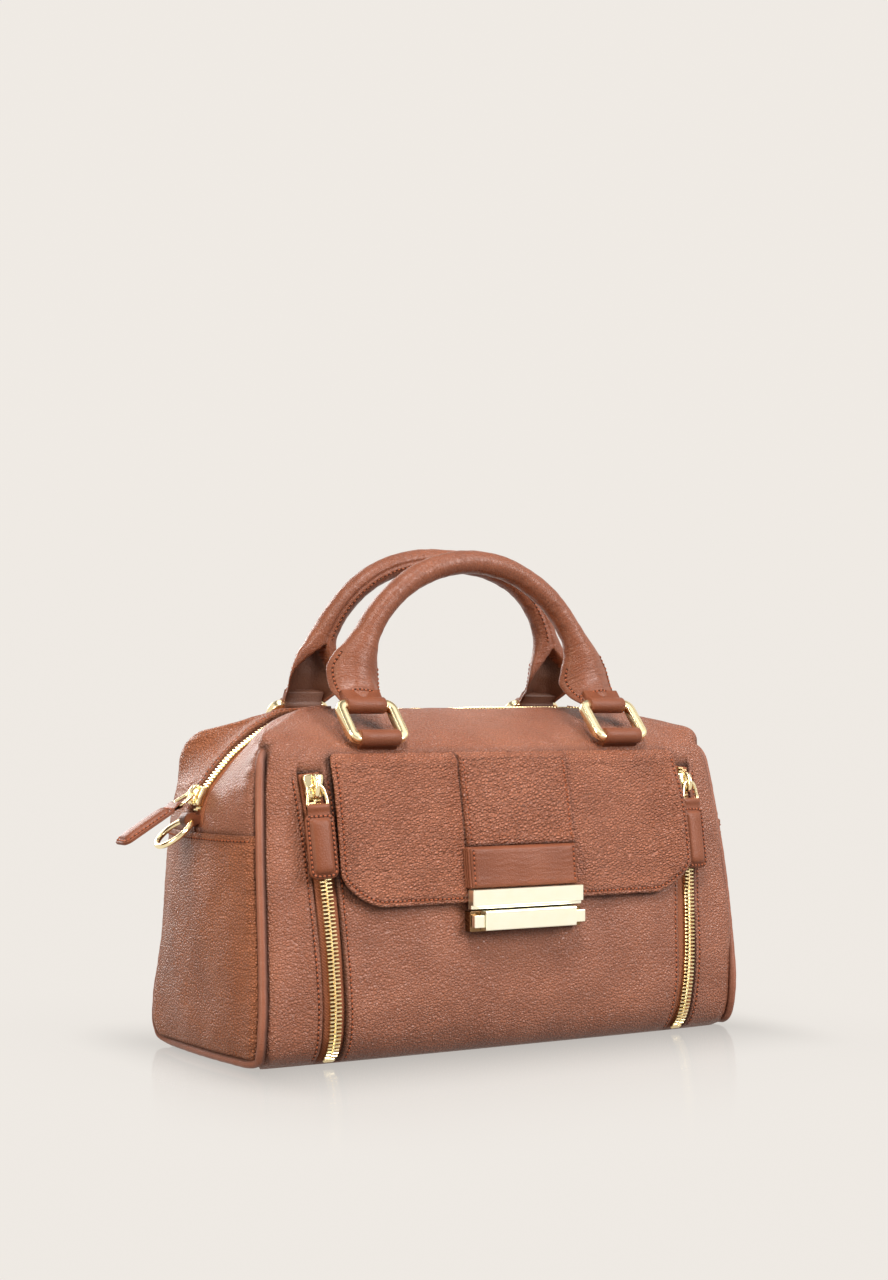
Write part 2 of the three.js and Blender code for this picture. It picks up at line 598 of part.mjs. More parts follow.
const ringShape = roundedRectangle(ring.width / 2 - ring.bevel, ring.bevel, ring.length - ring.bevel, ring.round);
ringShape.holes.push(roundedRectangle(ring.windowWidth / 2 + ring.bevel, (ring.length - ring.windowLength) / 2 - ring.bevel,
  (ring.length + ring.windowLength) / 2 + ring.bevel, 2.4, new THREE.Path()));
const ringGeometry = new THREE.ExtrudeGeometry(ringShape, {
  depth: ring.depth - 2 * ring.bevel,
  bevelThickness: ring.bevel,
  bevelSize: ring.bevel,
  bevelSegments: 1,
  curveSegments: 2,
}).translate(0, -(ring.length - ring.windowLength) / 4, ring.bevel - ring.depth / 2);

for (const row of handleBends) {
  addPiece(`${row.name}_handle`, handleGeometry(row), smoothLeather);
  for (const [name, footSide] of [['left', -1], ['right', 1]]) {
    const piece = addPiece(`${row.name}_ring_${name}`, ringGeometry.clone(), gold);
    piece.position.set(footSide * loopX, row.side * lowerBarY, lowerBarZ);
    piece.rotation.x = Math.PI / 2 + row.side * ringTilt;

    const x = footSide * loopX;
    const y = row.side * lowerBarY;
    const roll = toSolid(rodAlongX(loop.radius, loop.width, x, y, lowerBarZ));
    const foot = toSolid(new THREE.BoxGeometry(loop.width, 6, 8).translate(0, 0, -4)
      .rotateX(-row.side * Math.PI / 4).translate(x, y, lowerBarZ));
    const hole = toSolid(rodAlongX(loop.hole, loop.width + 2, x, y, lowerBarZ));
    addPiece(`${row.name}_loop_${name}`, toGeometry(roll.add(foot).subtract(hole).subtract(clearBody)), smoothLeather);
  }
}

// A ring for a shoulder strap at each end, in a small loop under the zip's end
for (const [name, side] of [['left', -1], ['right', 1]]) {
  const x = side * (sectionAt(strapLoop.z).endX + clearance + strapLoop.radius);
  const roll = toSolid(rodAlongY(strapLoop.radius, strapLoop.width, x, 0, strapLoop.z));
  const foot = toSolid(box(Math.min(x, side * 145), Math.max(x, side * 145), -strapLoop.width / 2, strapLoop.width / 2,
    strapLoop.z - 2.6, strapLoop.z + 2.6));
  const hole = toSolid(rodAlongY(strapLoop.hole, strapLoop.width + 2, x, 0, strapLoop.z));
  addPiece(`strap_loop_${name}`, toGeometry(roll.add(foot).subtract(hole).subtract(clearBody)), smoothLeather);

  const round = new THREE.TorusGeometry(strapRing.radius, strapRing.wire, 6, 14);
  round.deleteAttribute('normal');
  round.deleteAttribute('uv');
  const piece = addPiece(`strap_ring_${name}`, mergeVertices(round, 1e-4).translate(strapRing.radius, 0, 0), gold);
  piece.position.set(x, 0, strapLoop.z);
  piece.rotation.y = side > 0 ? strapRing.drop : Math.PI - strapRing.drop;
}

export default satchel;
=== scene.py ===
import math
import bpy
import numpy as np
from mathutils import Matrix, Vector


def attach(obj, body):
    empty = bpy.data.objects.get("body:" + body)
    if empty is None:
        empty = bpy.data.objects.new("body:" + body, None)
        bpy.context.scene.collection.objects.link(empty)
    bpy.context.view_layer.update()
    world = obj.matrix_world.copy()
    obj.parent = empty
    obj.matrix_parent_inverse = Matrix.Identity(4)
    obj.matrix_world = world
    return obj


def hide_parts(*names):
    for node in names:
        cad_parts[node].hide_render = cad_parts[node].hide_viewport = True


# A small satchel in grained leather. Lengths in this file are millimetres,
# turned to metres as each mesh is made.
# X runs along the bag, -Y is the front, Z is up.

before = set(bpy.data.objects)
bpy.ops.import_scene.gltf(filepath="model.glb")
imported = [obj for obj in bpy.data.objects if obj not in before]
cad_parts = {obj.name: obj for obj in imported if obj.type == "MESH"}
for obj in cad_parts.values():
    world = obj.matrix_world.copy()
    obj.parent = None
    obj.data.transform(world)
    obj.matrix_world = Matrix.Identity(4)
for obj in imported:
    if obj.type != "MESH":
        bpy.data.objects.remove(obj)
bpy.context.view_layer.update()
mm = 0.001
print("frame loaded")


# Node helpers

def addNode(tree, kind, x=0, y=0, **settings):
    node = tree.nodes.new(kind)
    node.location = (x, y)
    for name, value in settings.items():
        setattr(node, name, value)
    return node


def setInputs(node, **values):
    for name, value in values.items():
        node.inputs[name.replace("_", " ")].default_value = value
    return node


def mathNode(tree, operation, first, second=None, x=0, y=0, clamp=False):
    node = addNode(tree, "ShaderNodeMath", x, y, operation=operation, use_clamp=clamp)
    for socket, value in zip(node.inputs, (first, second)):
        if value is None:
            continue
        if isinstance(value, (int, float)):
            socket.default_value = value
        else:
            tree.links.new(value, socket)
    return node.outputs[0]


def newGroup(name, inputs, outputs):
    group = bpy.data.node_groups.new(name, "ShaderNodeTree")
    for label, kind, value in inputs:
        socket = group.interface.new_socket(name=label, in_out="INPUT", socket_type=kind)
        if value is not None:
            socket.default_value = value
    for label, kind in outputs:
        group.interface.new_socket(name=label, in_out="OUTPUT", socket_type=kind)
    return group, addNode(group, "NodeGroupInput", -1200, 0), addNode(group, "NodeGroupOutput", 900, 0)


# Grain of tumbled leather: domed cells with thin creases between them, drawn in the object's own space
def makePebbleGrain():
    group, take, give = newGroup(
        "pebbleGrain",
        [("Vector", "NodeSocketVector", None), ("Cells", "NodeSocketFloat", 620.0),
         ("Flatten", "NodeSocketFloat", 1.2),
         ("Warp", "NodeSocketFloat", 0.7), ("Crease", "NodeSocketFloat", 0.26)],
        [("Height", "NodeSocketFloat"), ("Hollow", "NodeSocketFloat"), ("Drift", "NodeSocketFloat")])
    links = group.links
    stretch = addNode(group, "ShaderNodeCombineXYZ", -1000, -200)
    stretch.inputs[0].default_value = 1.0
    stretch.inputs[1].default_value = 1.0
    links.new(take.outputs["Flatten"], stretch.inputs[2])
    lay = addNode(group, "ShaderNodeVectorMath", -820, 0, operation="MULTIPLY")
    links.new(take.outputs["Vector"], lay.inputs[0])
    links.new(stretch.outputs[0], lay.inputs[1])
    bend = addNode(group, "ShaderNodeTexNoise", -640, -240)
    links.new(lay.outputs[0], bend.inputs["Vector"])
    links.new(mathNode(group, "MULTIPLY", take.outputs["Cells"], 0.42, -820, -260), bend.inputs["Scale"])
    setInputs(bend, Detail=2.0, Roughness=0.5)
    centred = addNode(group, "ShaderNodeVectorMath", -460, -240, operation="SUBTRACT")
    links.new(bend.outputs["Color"], centred.inputs[0])
    centred.inputs[1].default_value = (0.5, 0.5, 0.5)
    shift = addNode(group, "ShaderNodeVectorMath", -300, -240, operation="SCALE")
    links.new(centred.outputs[0], shift.inputs[0])
    links.new(mathNode(group, "DIVIDE", take.outputs["Warp"], take.outputs["Cells"], -460, -420),
              shift.inputs["Scale"])
    warped = addNode(group, "ShaderNodeVectorMath", -140, 0, operation="ADD")
    links.new(lay.outputs[0], warped.inputs[0])
    links.new(shift.outputs[0], warped.inputs[1])
    edge = addNode(group, "ShaderNodeTexVoronoi", 40, 160, feature="DISTANCE_TO_EDGE")
    dome = addNode(group, "ShaderNodeTexVoronoi", 40, -120, feature="SMOOTH_F1")
    dome.inputs["Smoothness"].default_value = 0.5
    for cells in (edge, dome):
        links.new(warped.outputs[0], cells.inputs["Vector"])
        links.new(take.outputs["Cells"], cells.inputs["Scale"])
    rise = addNode(group, "ShaderNodeMapRange", 240, 160, interpolation_type="SMOOTHSTEP")
    links.new(edge.outputs["Distance"], rise.inputs["Value"])
    links.new(take.outputs["Crease"], rise.inputs["From Max"])
    round1 = mathNode(group, "SUBTRACT", 1.0,
                      mathNode(group, "POWER", dome.outputs["Distance"], 1.6, 240, -120), 400, -120)
    fine = addNode(group, "ShaderNodeTexNoise", 40, -380)
    links.new(lay.outputs[0], fine.inputs["Vector"])
    links.new(mathNode(group, "MULTIPLY", take.outputs["Cells"], 3.1, -140, -420), fine.inputs["Scale"])
    setInputs(fine, Detail=3.0, Roughness=0.6)
    height = mathNode(group, "ADD", mathNode(group, "MULTIPLY", rise.outputs[0], 0.36, 420, 160),
                      mathNode(group, "MULTIPLY", round1, 0.64, 560, -120), 640, 80)
    height = mathNode(group, "ADD", height,
                      mathNode(group, "MULTIPLY", fine.outputs["Fac"], 0.06, 400, -380), 760, 60)
    drift = addNode(group, "ShaderNodeTexNoise", 40, -620)
    links.new(take.outputs["Vector"], drift.inputs["Vector"])
    setInputs(drift, Scale=34.0, Detail=4.0, Roughness=0.55)
    links.new(height, give.inputs["Height"])
    links.new(mathNode(group, "SUBTRACT", 1.0, rise.outputs[0], 560, 240), give.inputs["Hollow"])
    links.new(drift.outputs["Fac"], give.inputs["Drift"])
    return group


# Fine lines across a rolled or folded piece, from the "lay" attribute: X along the piece, Y round it
def makeCrossLines():
    group, take, give = newGroup(
        "crossLines",
        [("Along", "NodeSocketFloat", 420.0), ("Round", "NodeSocketFloat", 90.0)],
        [("Height", "NodeSocketFloat"), ("Patch", "NodeSocketFloat")])
    links = group.links
    lay = addNode(group, "ShaderNodeAttribute", -900, 0, attribute_name="lay")
    parts = addNode(group, "ShaderNodeSeparateXYZ", -720, 0)
    links.new(lay.outputs["Vector"], parts.inputs[0])
    spot = addNode(group, "ShaderNodeCombineXYZ", -360, 0)
    links.new(mathNode(group, "MULTIPLY", parts.outputs[0], take.outputs["Along"], -540, 60),
              spot.inputs[0])
    links.new(mathNode(group, "MULTIPLY", parts.outputs[1], take.outputs["Round"], -540, -80),
              spot.inputs[1])
    lines = addNode(group, "ShaderNodeTexNoise", -160, 60)
    links.new(spot.outputs[0], lines.inputs["Vector"])
    setInputs(lines, Scale=1.0, Detail=5.0, Roughness=0.62, Distortion=0.5)
    patch = addNode(group, "ShaderNodeTexNoise", -160, -220)
    links.new(spot.outputs[0], patch.inputs["Vector"])
    setInputs(patch, Scale=0.11, Detail=2.0)
    sharp = mathNode(group, "ABSOLUTE", mathNode(group, "SUBTRACT", lines.outputs["Fac"], 0.5, 60, 60),
                     None, 220, 60)
    links.new(mathNode(group, "POWER", mathNode(group, "MULTIPLY", sharp, 2.0, 380, 60), 0.55, 540, 60),
              give.inputs["Height"])
    links.new(patch.outputs["Fac"], give.inputs["Patch"])
    return group


pebbleGrain = makePebbleGrain()
crossLines = makeCrossLines()


def newMaterial(name):
    material = bpy.data.materials.new(name)
    material.use_nodes = True
    tree = material.node_tree
    return material, tree, tree.nodes["Principled BSDF"]


def toneRamp(tree, value, stops, x=0, y=0):
    ramp = addNode(tree, "ShaderNodeValToRGB", x, y)
    ramp.color_ramp.elements[0].position = stops[0][0]
    ramp.color_ramp.elements[0].color = (*stops[0][1], 1)
    ramp.color_ramp.elements[1].position = stops[-1][0]
    ramp.color_ramp.elements[1].color = (*stops[-1][1], 1)
    for place, colour in stops[1:-1]:
        ramp.color_ramp.elements.new(place).color = (*colour, 1)
    tree.links.new(value, ramp.inputs[0])
    return ramp.outputs[0]


leatherTone = {"light": (0.494, 0.180, 0.099), "mid": (0.414, 0.143, 0.076), "dark": (0.338, 0.110, 0.055),
               "crease": (0.165, 0.048, 0.022)}
# the ends and back take a warmer copy of the leather's colour with less blue, set for how light falls on
# them: painted light
endTone = {"light": (0.510, 0.186, 0.091), "mid": (0.428, 0.148, 0.069), "dark": (0.350, 0.114, 0.050),
           "crease": (0.170, 0.050, 0.021)}
plainTone = {"light": (0.250, 0.078, 0.036), "mid": (0.210, 0.062, 0.027), "dark": (0.171, 0.048, 0.020),
             "crease": (0.12, 0.036, 0.018)}
handleTone = {"light": (0.284, 0.087, 0.037), "mid": (0.236, 0.068, 0.027), "dark": (0.192, 0.053, 0.020),
              "crease": (0.14, 0.042, 0.021)}
pipingTone = {"light": (0.345, 0.119, 0.064), "mid": (0.295, 0.098, 0.051), "dark": (0.242, 0.078, 0.039),
              "crease": (0.15, 0.044, 0.021)}
# Dark copy of the handle leather for the hollows of the handles and the inner faces of their straps:
# painted shade
paintedShadeTone = {"light": (0.150, 0.060, 0.032), "mid": (0.115, 0.043, 0.022), "dark": (0.085, 0.030, 0.015),
             "crease": (0.05, 0.016, 0.008)}


# Grained leather; cells per metre, how flat the cells lie, relief in metres
def makeLeather(name, cells, flatten, relief, creaseShare, gloss, crossDepth=0.0, slant=0.0,
                tones=leatherTone, shine=0.45, coat=0.0):
    material, tree, shader = newMaterial(name)
    place = addNode(tree, "ShaderNodeTexCoord", -1400, 0)
    grain = addNode(tree, "ShaderNodeGroup", -1150, 0, node_tree=pebbleGrain)
    lean = addNode(tree, "ShaderNodeVectorRotate", -1280, -160, rotation_type="Y_AXIS")
    lean.inputs["Angle"].default_value = slant
    tree.links.new(place.outputs["Object"], lean.inputs["Vector"])
    tree.links.new(lean.outputs[0], grain.inputs["Vector"])
    setInputs(grain, Cells=cells, Flatten=flatten)
    height = grain.outputs["Height"]
    tone = grain.outputs["Drift"]
    if crossDepth:
        cross = addNode(tree, "ShaderNodeGroup", -1150, -320, node_tree=crossLines)
        height = mathNode(tree, "ADD", mathNode(tree, "MULTIPLY", height, 1 - crossDepth, -900, 0),
                          mathNode(tree, "MULTIPLY", cross.outputs["Height"], crossDepth, -900, -200), -740,
                          -60)
        tone = mathNode(tree, "ADD", mathNode(tree, "MULTIPLY", tone, 0.6, -900, 200),
                        mathNode(tree, "MULTIPLY", cross.outputs["Patch"], 0.4, -900, 320), -740, 220)
    colour = toneRamp(tree, tone, [(0.3, tones["dark"]), (0.5, tones["mid"]), (0.72, tones["light"])], -700,
                      260)
    # the creases between the grain's cells take the crease colour: painted shade
    shade = addNode(tree, "ShaderNodeMix", -380, 220, data_type="RGBA", blend_type="MIX")
    tree.links.new(mathNode(tree, "MULTIPLY", grain.outputs["Hollow"], creaseShare, -560, 60),
                   shade.inputs["Factor"])
    tree.links.new(colour, shade.inputs["A"])
    shade.inputs["B"].default_value = (*tones["crease"], 1)
    # painted shade in the folds and along the seams, from the "dim" attribute, which also roughens the
    # surface there
    fold = addNode(tree, "ShaderNodeAttribute", -380, 480, attribute_name="dim")
    sunk = addNode(tree, "ShaderNodeMix", -180, 300, data_type="RGBA", blend_type="MIX")
    tree.links.new(fold.outputs["Fac"], sunk.inputs["Factor"])
    tree.links.new(shade.outputs["Result"], sunk.inputs["A"])
    sunk.inputs["B"].default_value = (*(c * 0.3 for c in tones["crease"]), 1)
    tree.links.new(sunk.outputs["Result"], shader.inputs["Base Color"])
    rough = addNode(tree, "ShaderNodeMapRange", -560, -160)
    tree.links.new(height, rough.inputs["Value"])
    setInputs(rough, To_Min=gloss + 0.16, To_Max=gloss)
    tree.links.new(mathNode(tree, "ADD", rough.outputs[0],
                            mathNode(tree, "MULTIPLY", fold.outputs["Fac"], 0.35, -380, -60), -180, -80),
                   shader.inputs["Roughness"])
    bump = addNode(tree, "ShaderNodeBump", -380, -260)
    setInputs(bump, Strength=1.0, Distance=relief)
    tree.links.new(height, bump.inputs["Height"])
    tree.links.new(bump.outputs[0], shader.inputs["Normal"])
    setInputs(shader, Specular_IOR_Level=shine, Coat_Weight=coat, Coat_Roughness=0.32)
    return material


def makeThread(name, colour, roughness):
    material, tree, shader = newMaterial(name)
    place = addNode(tree, "ShaderNodeTexCoord", -900, 0)
    fibre = addNode(tree, "ShaderNodeTexNoise", -700, 0)
    tree.links.new(place.outputs["Object"], fibre.inputs["Vector"])
    setInputs(fibre, Scale=900.0, Detail=3.0)
    dim = tuple(c * 0.62 for c in colour)
    tree.links.new(toneRamp(tree, fibre.outputs["Fac"], [(0.3, dim), (0.7, colour)], -460, 80),
                   shader.inputs["Base Color"])
    setInputs(shader, Roughness=roughness, Specular_IOR_Level=0.25)
    return material


# Twill tape: slanting ribs from the "lay" attribute; the colour darkens between them, painted shade
def makeTape():
    material, tree, shader = newMaterial("zipTapeWeave")
    lay = addNode(tree, "ShaderNodeAttribute", -1100, 0, attribute_name="lay")
    rib = addNode(tree, "ShaderNodeTexWave", -860, 60, wave_type="BANDS", bands_direction="DIAGONAL")
    tree.links.new(lay.outputs["Vector"], rib.inputs["Vector"])
    setInputs(rib, Scale=420.0, Distortion=0.6, Detail=1.0)
    cross = addNode(tree, "ShaderNodeTexWave", -860, -220, wave_type="BANDS", bands_direction="X")
    tree.links.new(lay.outputs["Vector"], cross.inputs["Vector"])
    setInputs(cross, Scale=420.0, Distortion=0.8)
    height = mathNode(tree, "MULTIPLY", rib.outputs["Fac"], cross.outputs["Fac"], -620, -60)
    tree.links.new(toneRamp(tree, height, [(0.0, (0.25, 0.082, 0.040)), (0.9, (0.42, 0.155, 0.082))], -420,
                            120),
                   shader.inputs["Base Color"])
    bump = addNode(tree, "ShaderNodeBump", -380, -220)
    setInputs(bump, Strength=0.7, Distance=0.0002)
    tree.links.new(height, bump.inputs["Height"])
    tree.links.new(bump.outputs[0], shader.inputs["Normal"])
    setInputs(shader, Roughness=0.78, Specular_IOR_Level=0.2)
    return material


# Pale gold plating with faint polishing marks
def makeGold(name, bright, deep, gloss):
    material, tree, shader = newMaterial(name)
    place = addNode(tree, "ShaderNodeTexCoord", -1000, 0)
    cloud = addNode(tree, "ShaderNodeTexNoise", -780, 80)
    tree.links.new(place.outputs["Object"], cloud.inputs["Vector"])
    setInputs(cloud, Scale=140.0, Detail=3.0)
    tree.links.new(toneRamp(tree, cloud.outputs["Fac"], [(0.3, deep), (0.7, bright)], -520, 160),
                   shader.inputs["Base Color"])
    polish = addNode(tree, "ShaderNodeTexNoise", -780, -200)
    tree.links.new(place.outputs["Object"], polish.inputs["Vector"])
    setInputs(polish, Scale=1700.0, Detail=2.0)
    rough = addNode(tree, "ShaderNodeMapRange", -520, -120)
    tree.links.new(polish.outputs["Fac"], rough.inputs["Value"])
    setInputs(rough, To_Min=gloss, To_Max=gloss + 0.06)
    tree.links.new(rough.outputs[0], shader.inputs["Roughness"])
    setInputs(shader, Metallic=1.0)
    return material


# Smooth front leather shades itself less than the coarser flap, so its tones are deeper
bodyTone = {name: tuple(0.745 * part for part in tone) for name, tone in leatherTone.items()}
bodyLeather = makeLeather("bodyLeather", 680.0, 1.2, 0.00062, 0.40, 0.32, slant=0.15, tones=bodyTone,
                          shine=0.5)
endLeather = makeLeather("endLeather", 670.0, 1.2, 0.00136, 0.46, 0.34, slant=0.15, tones=endTone,
                         shine=0.3)
flapLeather = makeLeather("flapLeather", 530.0, 1.7, 0.00180, 0.47, 0.30, slant=0.34, shine=0.5)
stripLeather = makeLeather("stripLeather", 480.0, 1.5, 0.00208, 0.47, 0.29, slant=0.3, shine=0.5)
plainLeather = makeLeather("plainLeather", 900.0, 1.0, 0.00018, 0.14, 0.36, crossDepth=0.4, tones=plainTone,
                           shine=0.28, coat=0.04)
handleLeather = makeLeather("handleLeather", 700.0, 1.0, 0.00044, 0.28, 0.30, crossDepth=0.8,
                            tones=handleTone, shine=0.45, coat=0.11)
pipingLeather = makeLeather("pipingLeather", 900.0, 1.0, 0.00022, 0.2, 0.33, crossDepth=0.4,
                            tones=pipingTone, shine=0.5)
paintedShadeLeather = makeLeather("paintedShadeLeather", 760.0, 1.0, 0.00014, 0.20, 0.46, crossDepth=0.3, tones=paintedShadeTone)
seamThread = makeThread("seamThread", (0.45, 0.124, 0.052), 0.5)
needleHoleShade = makeThread("needleHoleShade", (0.055, 0.016, 0.008), 0.8)
zipTapeWeave = makeTape()
paleGold = makeGold("paleGold", (1.0, 0.87, 0.56), (0.96, 0.80, 0.46), 0.14)
lockGold = makeGold("lockGold", (1.0, 0.97, 0.80), (0.99, 0.95, 0.75), 0.28)
# the lock's base is plated in a dark brown copy of the gold: painted shade
shadedLockGold = makeGold("shadedLockGold", (0.27, 0.16, 0.08), (0.20, 0.11, 0.05), 0.16)
toothGold = makeGold("toothGold", (0.95, 0.80, 0.48), (0.86, 0.66, 0.34), 0.22)
print("materials made")


# Mesh helpers

def makePiece(name, points, faces, material, body, stands=(), lay=None, smooth=True, dim=None):
    mesh = bpy.data.meshes.new(name)
    mesh.from_pydata((np.asarray(points, float).reshape(-1, 3) * mm).tolist(), [],
                     [tuple(int(i) for i in f) for f in faces])
    mesh.update()
    mesh.materials.append(material)
    if smooth:
        mesh.polygons.foreach_set("use_smooth", np.ones(len(mesh.polygons), bool))
    if lay is not None:
        store = mesh.attributes.new("lay", "FLOAT_VECTOR", "POINT")
        store.data.foreach_set("vector", (np.asarray(lay, float).reshape(-1, 3) * mm).ravel())
    # dim holds painted shade, read by the leather's shader
    if dim is not None:
        store = mesh.attributes.new("dim", "FLOAT", "POINT")
        store.data.foreach_set("value", np.clip(np.asarray(dim, float).ravel(), 0, 1))
    piece = bpy.data.objects.new(name, mesh)
    bpy.context.scene.collection.objects.link(piece)
    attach(piece, body)
    if stands:
        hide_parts(*stands)
    return piece


def gridFaces(rows, columns, start=0, keep=None, wrap=False):
    last = columns if wrap else columns - 1
    r, c = np.meshgrid(np.arange(rows - 1), np.arange(last), indexing="ij")
    following = (c + 1) % columns
    quads = np.stack([r * columns + c, r * columns + following, (r + 1) * columns + following,
                      (r + 1) * columns + c], -1) + start
    if keep is not None:
        return quads[keep].reshape(-1, 4)
    return quads.reshape(-1, 4)


# Tube faces with a cap at both ends
def cappedFaces(rings, sides):
    faces = [tuple(f) for f in gridFaces(rings, sides, wrap=True)]
    faces.append(tuple(range(sides))[::-1])
    faces.append(tuple(range((rings - 1) * sides, rings * sides)))
    return faces


class Builder:
    # Gathers several shapes into one mesh
    def __init__(self):
        self.points, self.faces, self.lays, self.dims, self.count = [], [], [], [], 0

    def add(self, points, faces, lay=None, dim=None):
        points = np.asarray(points, float).reshape(-1, 3)
        self.points.append(points)
        self.faces.extend([tuple(int(i) + self.count for i in f) for f in faces])
        self.lays.append(np.zeros_like(points) if lay is None else np.asarray(lay, float).reshape(-1, 3))
        self.dims.append(np.zeros(len(points)) if dim is None else np.asarray(dim, float).ravel())
        self.count += len(points)

    def piece(self, name, material, body, slotName, stands=(), smooth=True):
        return makePiece(name, np.concatenate(self.points), self.faces, material, body, stands,
                         np.concatenate(self.lays), smooth, np.concatenate(self.dims))


def smoothStep(value, low, high):
    t = np.clip((value - low) / (high - low), 0, 1)
    return t * t * (3 - 2 * t)


def hump(distance, width):
    return np.exp(-(distance / width) ** 2)


def rolledEdge(distance, radius):
    t = np.clip(distance / radius, 0, 1)
    return np.sqrt(np.clip(1 - (1 - t) ** 2, 0, 1))


# Smooth irregular ripple, about plus and minus one
def ripple(points, wavelength, seed, count=9):
    dice = np.random.RandomState(seed)
    total = np.zeros(points.shape[:-1])
    for _ in range(count):
        way = dice.normal(size=3)
        way /= np.linalg.norm(way)
        turns = 2 * np.pi / (wavelength * dice.uniform(0.7, 1.5))
        total += np.sin(points @ way * turns + dice.uniform(0, 2 * np.pi))
    return total / math.sqrt(count)


def unit(vectors):
    size = np.linalg.norm(vectors, axis=-1, keepdims=True)
    return vectors / np.maximum(size, 1e-9)


def lengthAlong(path):
    return np.concatenate([[0], np.cumsum(np.linalg.norm(np.diff(path, axis=0), axis=1))])


def gridNormals(points, outward):
    across = np.gradient(points, axis=1)
    along = np.gradient(points, axis=0)
    normals = unit(np.cross(across, along))
    sign = np.sign((normals * outward).sum(-1).mean())
    return normals * (sign if sign else 1)


# Slope-limited smooth curve through table values
def smoothColumn(places, values):
    places, values = np.array(places, float), np.array(values, float)
    slope = np.diff(values) / np.diff(places)
    product, total = slope[:-1] * slope[1:], slope[:-1] + slope[1:]
    inner = np.where(product > 0, 2 * product / np.where(np.abs(total) < 1e-9, 1, total), 0)
    tangent = np.concatenate([[slope[0]], inner, [slope[-1]]])

    def at(value):
        value = np.clip(value, places[0], places[-1])
        i = np.clip(np.searchsorted(places, value, side="right") - 1, 0, len(places) - 2)
        span = places[i + 1] - places[i]
        t = (value - places[i]) / span
        return ((2 * t ** 3 - 3 * t ** 2 + 1) * values[i] + (t ** 3 - 2 * t ** 2 + t) * span * tangent[i]
                + (3 * t ** 2 - 2 * t ** 3) * values[i + 1] + (t ** 3 - t ** 2) * span * tangent[i + 1])
    return at


def catmull(points, perSpan):
    points = np.asarray(points, float)
    ends = np.concatenate([[2 * points[0] - points[1]], points, [2 * points[-1] - points[-2]]])
    out = []
    for k in range(1, len(ends) - 2):
        a, b, c, d = ends[k - 1:k + 3]
        t = np.linspace(0, 1, perSpan, endpoint=False)[:, None]
        out.append(0.5 * (2 * b + (c - a) * t + (2 * a - 5 * b + 4 * c - d) * t ** 2
                          + (3 * b - a - 3 * c + d) * t ** 3))
    return np.concatenate(out + [points[-1:]])


def resample(points, step):
    run = lengthAlong(points)
    count = max(2, int(round(run[-1] / step)) + 1)
    want = np.linspace(0, run[-1], count)
    return np.stack([np.interp(want, run, points[:, k]) for k in range(points.shape[1])], -1)


# Tube of changing radius along a path
def tube(path, radius, sides, firstUp=(0, 0, 1)):
    path = np.asarray(path, float)
    radius = np.broadcast_to(radius, len(path))
    along = unit(np.gradient(path, axis=0))
    up = np.array(firstUp, float)
    frames = []
    for t in along:
        up = up - t * (up @ t)
        up /= np.linalg.norm(up)
        frames.append((up.copy(), np.cross(t, up)))
    angle = np.linspace(0, 2 * np.pi, sides, endpoint=False)
    rings = np.array([p + r * (np.cos(angle)[:, None] * a + np.sin(angle)[:, None] * b)
                      for p, r, (a, b) in zip(path, radius, frames)])
    run = lengthAlong(path)
    lay = np.stack(np.broadcast_arrays(run[:, None], (angle * radius.mean())[None, :], 0.0), -1)
    return rings.reshape(-1, 3), cappedFaces(len(path), sides), lay.reshape(-1, 3)


# Stitches along a seam: a short raised thread between two needle holes, each shown by a dark disc, painted
# shade in the hole
stitchWork = {"pitch": 2.5, "length": 1.65, "thick": 0.42, "rise": 0.22, "mark": 0.70, "sides": 6}


def stitchRun(threads, marks, path, normals, pitch=None, offset=0.0, size=1.0):
    pitch = pitch or stitchWork["pitch"]
    path, normals = np.asarray(path, float), np.asarray(normals, float)
    run = lengthAlong(path)
    count = int((run[-1] - 0.6) / pitch)
    if count < 1:
        return
    at = (np.arange(count) + 0.5) * pitch + (run[-1] - count * pitch) / 2
    def along(values, where):
        return np.stack([np.interp(where, run, values[:, k]) for k in range(3)], -1)
    half = stitchWork["length"] / 2
    middle, up = along(path, at), unit(along(normals, at))
    way = unit(along(path, np.minimum(at + half, run[-1])) - along(path, np.maximum(at - half, 0)))
    side = unit(np.cross(up, way))
    angle = np.linspace(0, 2 * np.pi, stitchWork["sides"], endpoint=False)
    steps = [(-1.0, -0.30, 0.45), (-0.72, 0.5, 0.9), (0, 1, 1), (0.72, 0.5, 0.9), (1.0, -0.30, 0.45)]
    sides = stitchWork["sides"]
    faces = [tuple(f) for f in gridFaces(len(steps), sides, wrap=True)]
    for k in range(count):
        rings = [middle[k] + way[k] * half * u + up[k] * (stitchWork["rise"] * h + offset)
                 + stitchWork["thick"] * size * r
                 * (np.cos(angle)[:, None] * side[k] + np.sin(angle)[:, None] * up[k] * 0.8)
                 for u, h, r in steps]
        threads.add(np.concatenate(rings), faces)
        # a dark disc at each end stands for the needle hole: painted shade
        for end in (-1, 1):
            centre = middle[k] + way[k] * (half * 1.12) * end + up[k] * (0.05 + offset)
            spokes = np.cos(angle)[:, None] * way[k] + np.sin(angle)[:, None] * side[k]
            disc = centre + stitchWork["mark"] * size * spokes
            marks.add(np.concatenate([disc, [centre + up[k] * 0.02]]),
                      [(i, (i + 1) % sides, sides) for i in range(sides)])


# Body skin

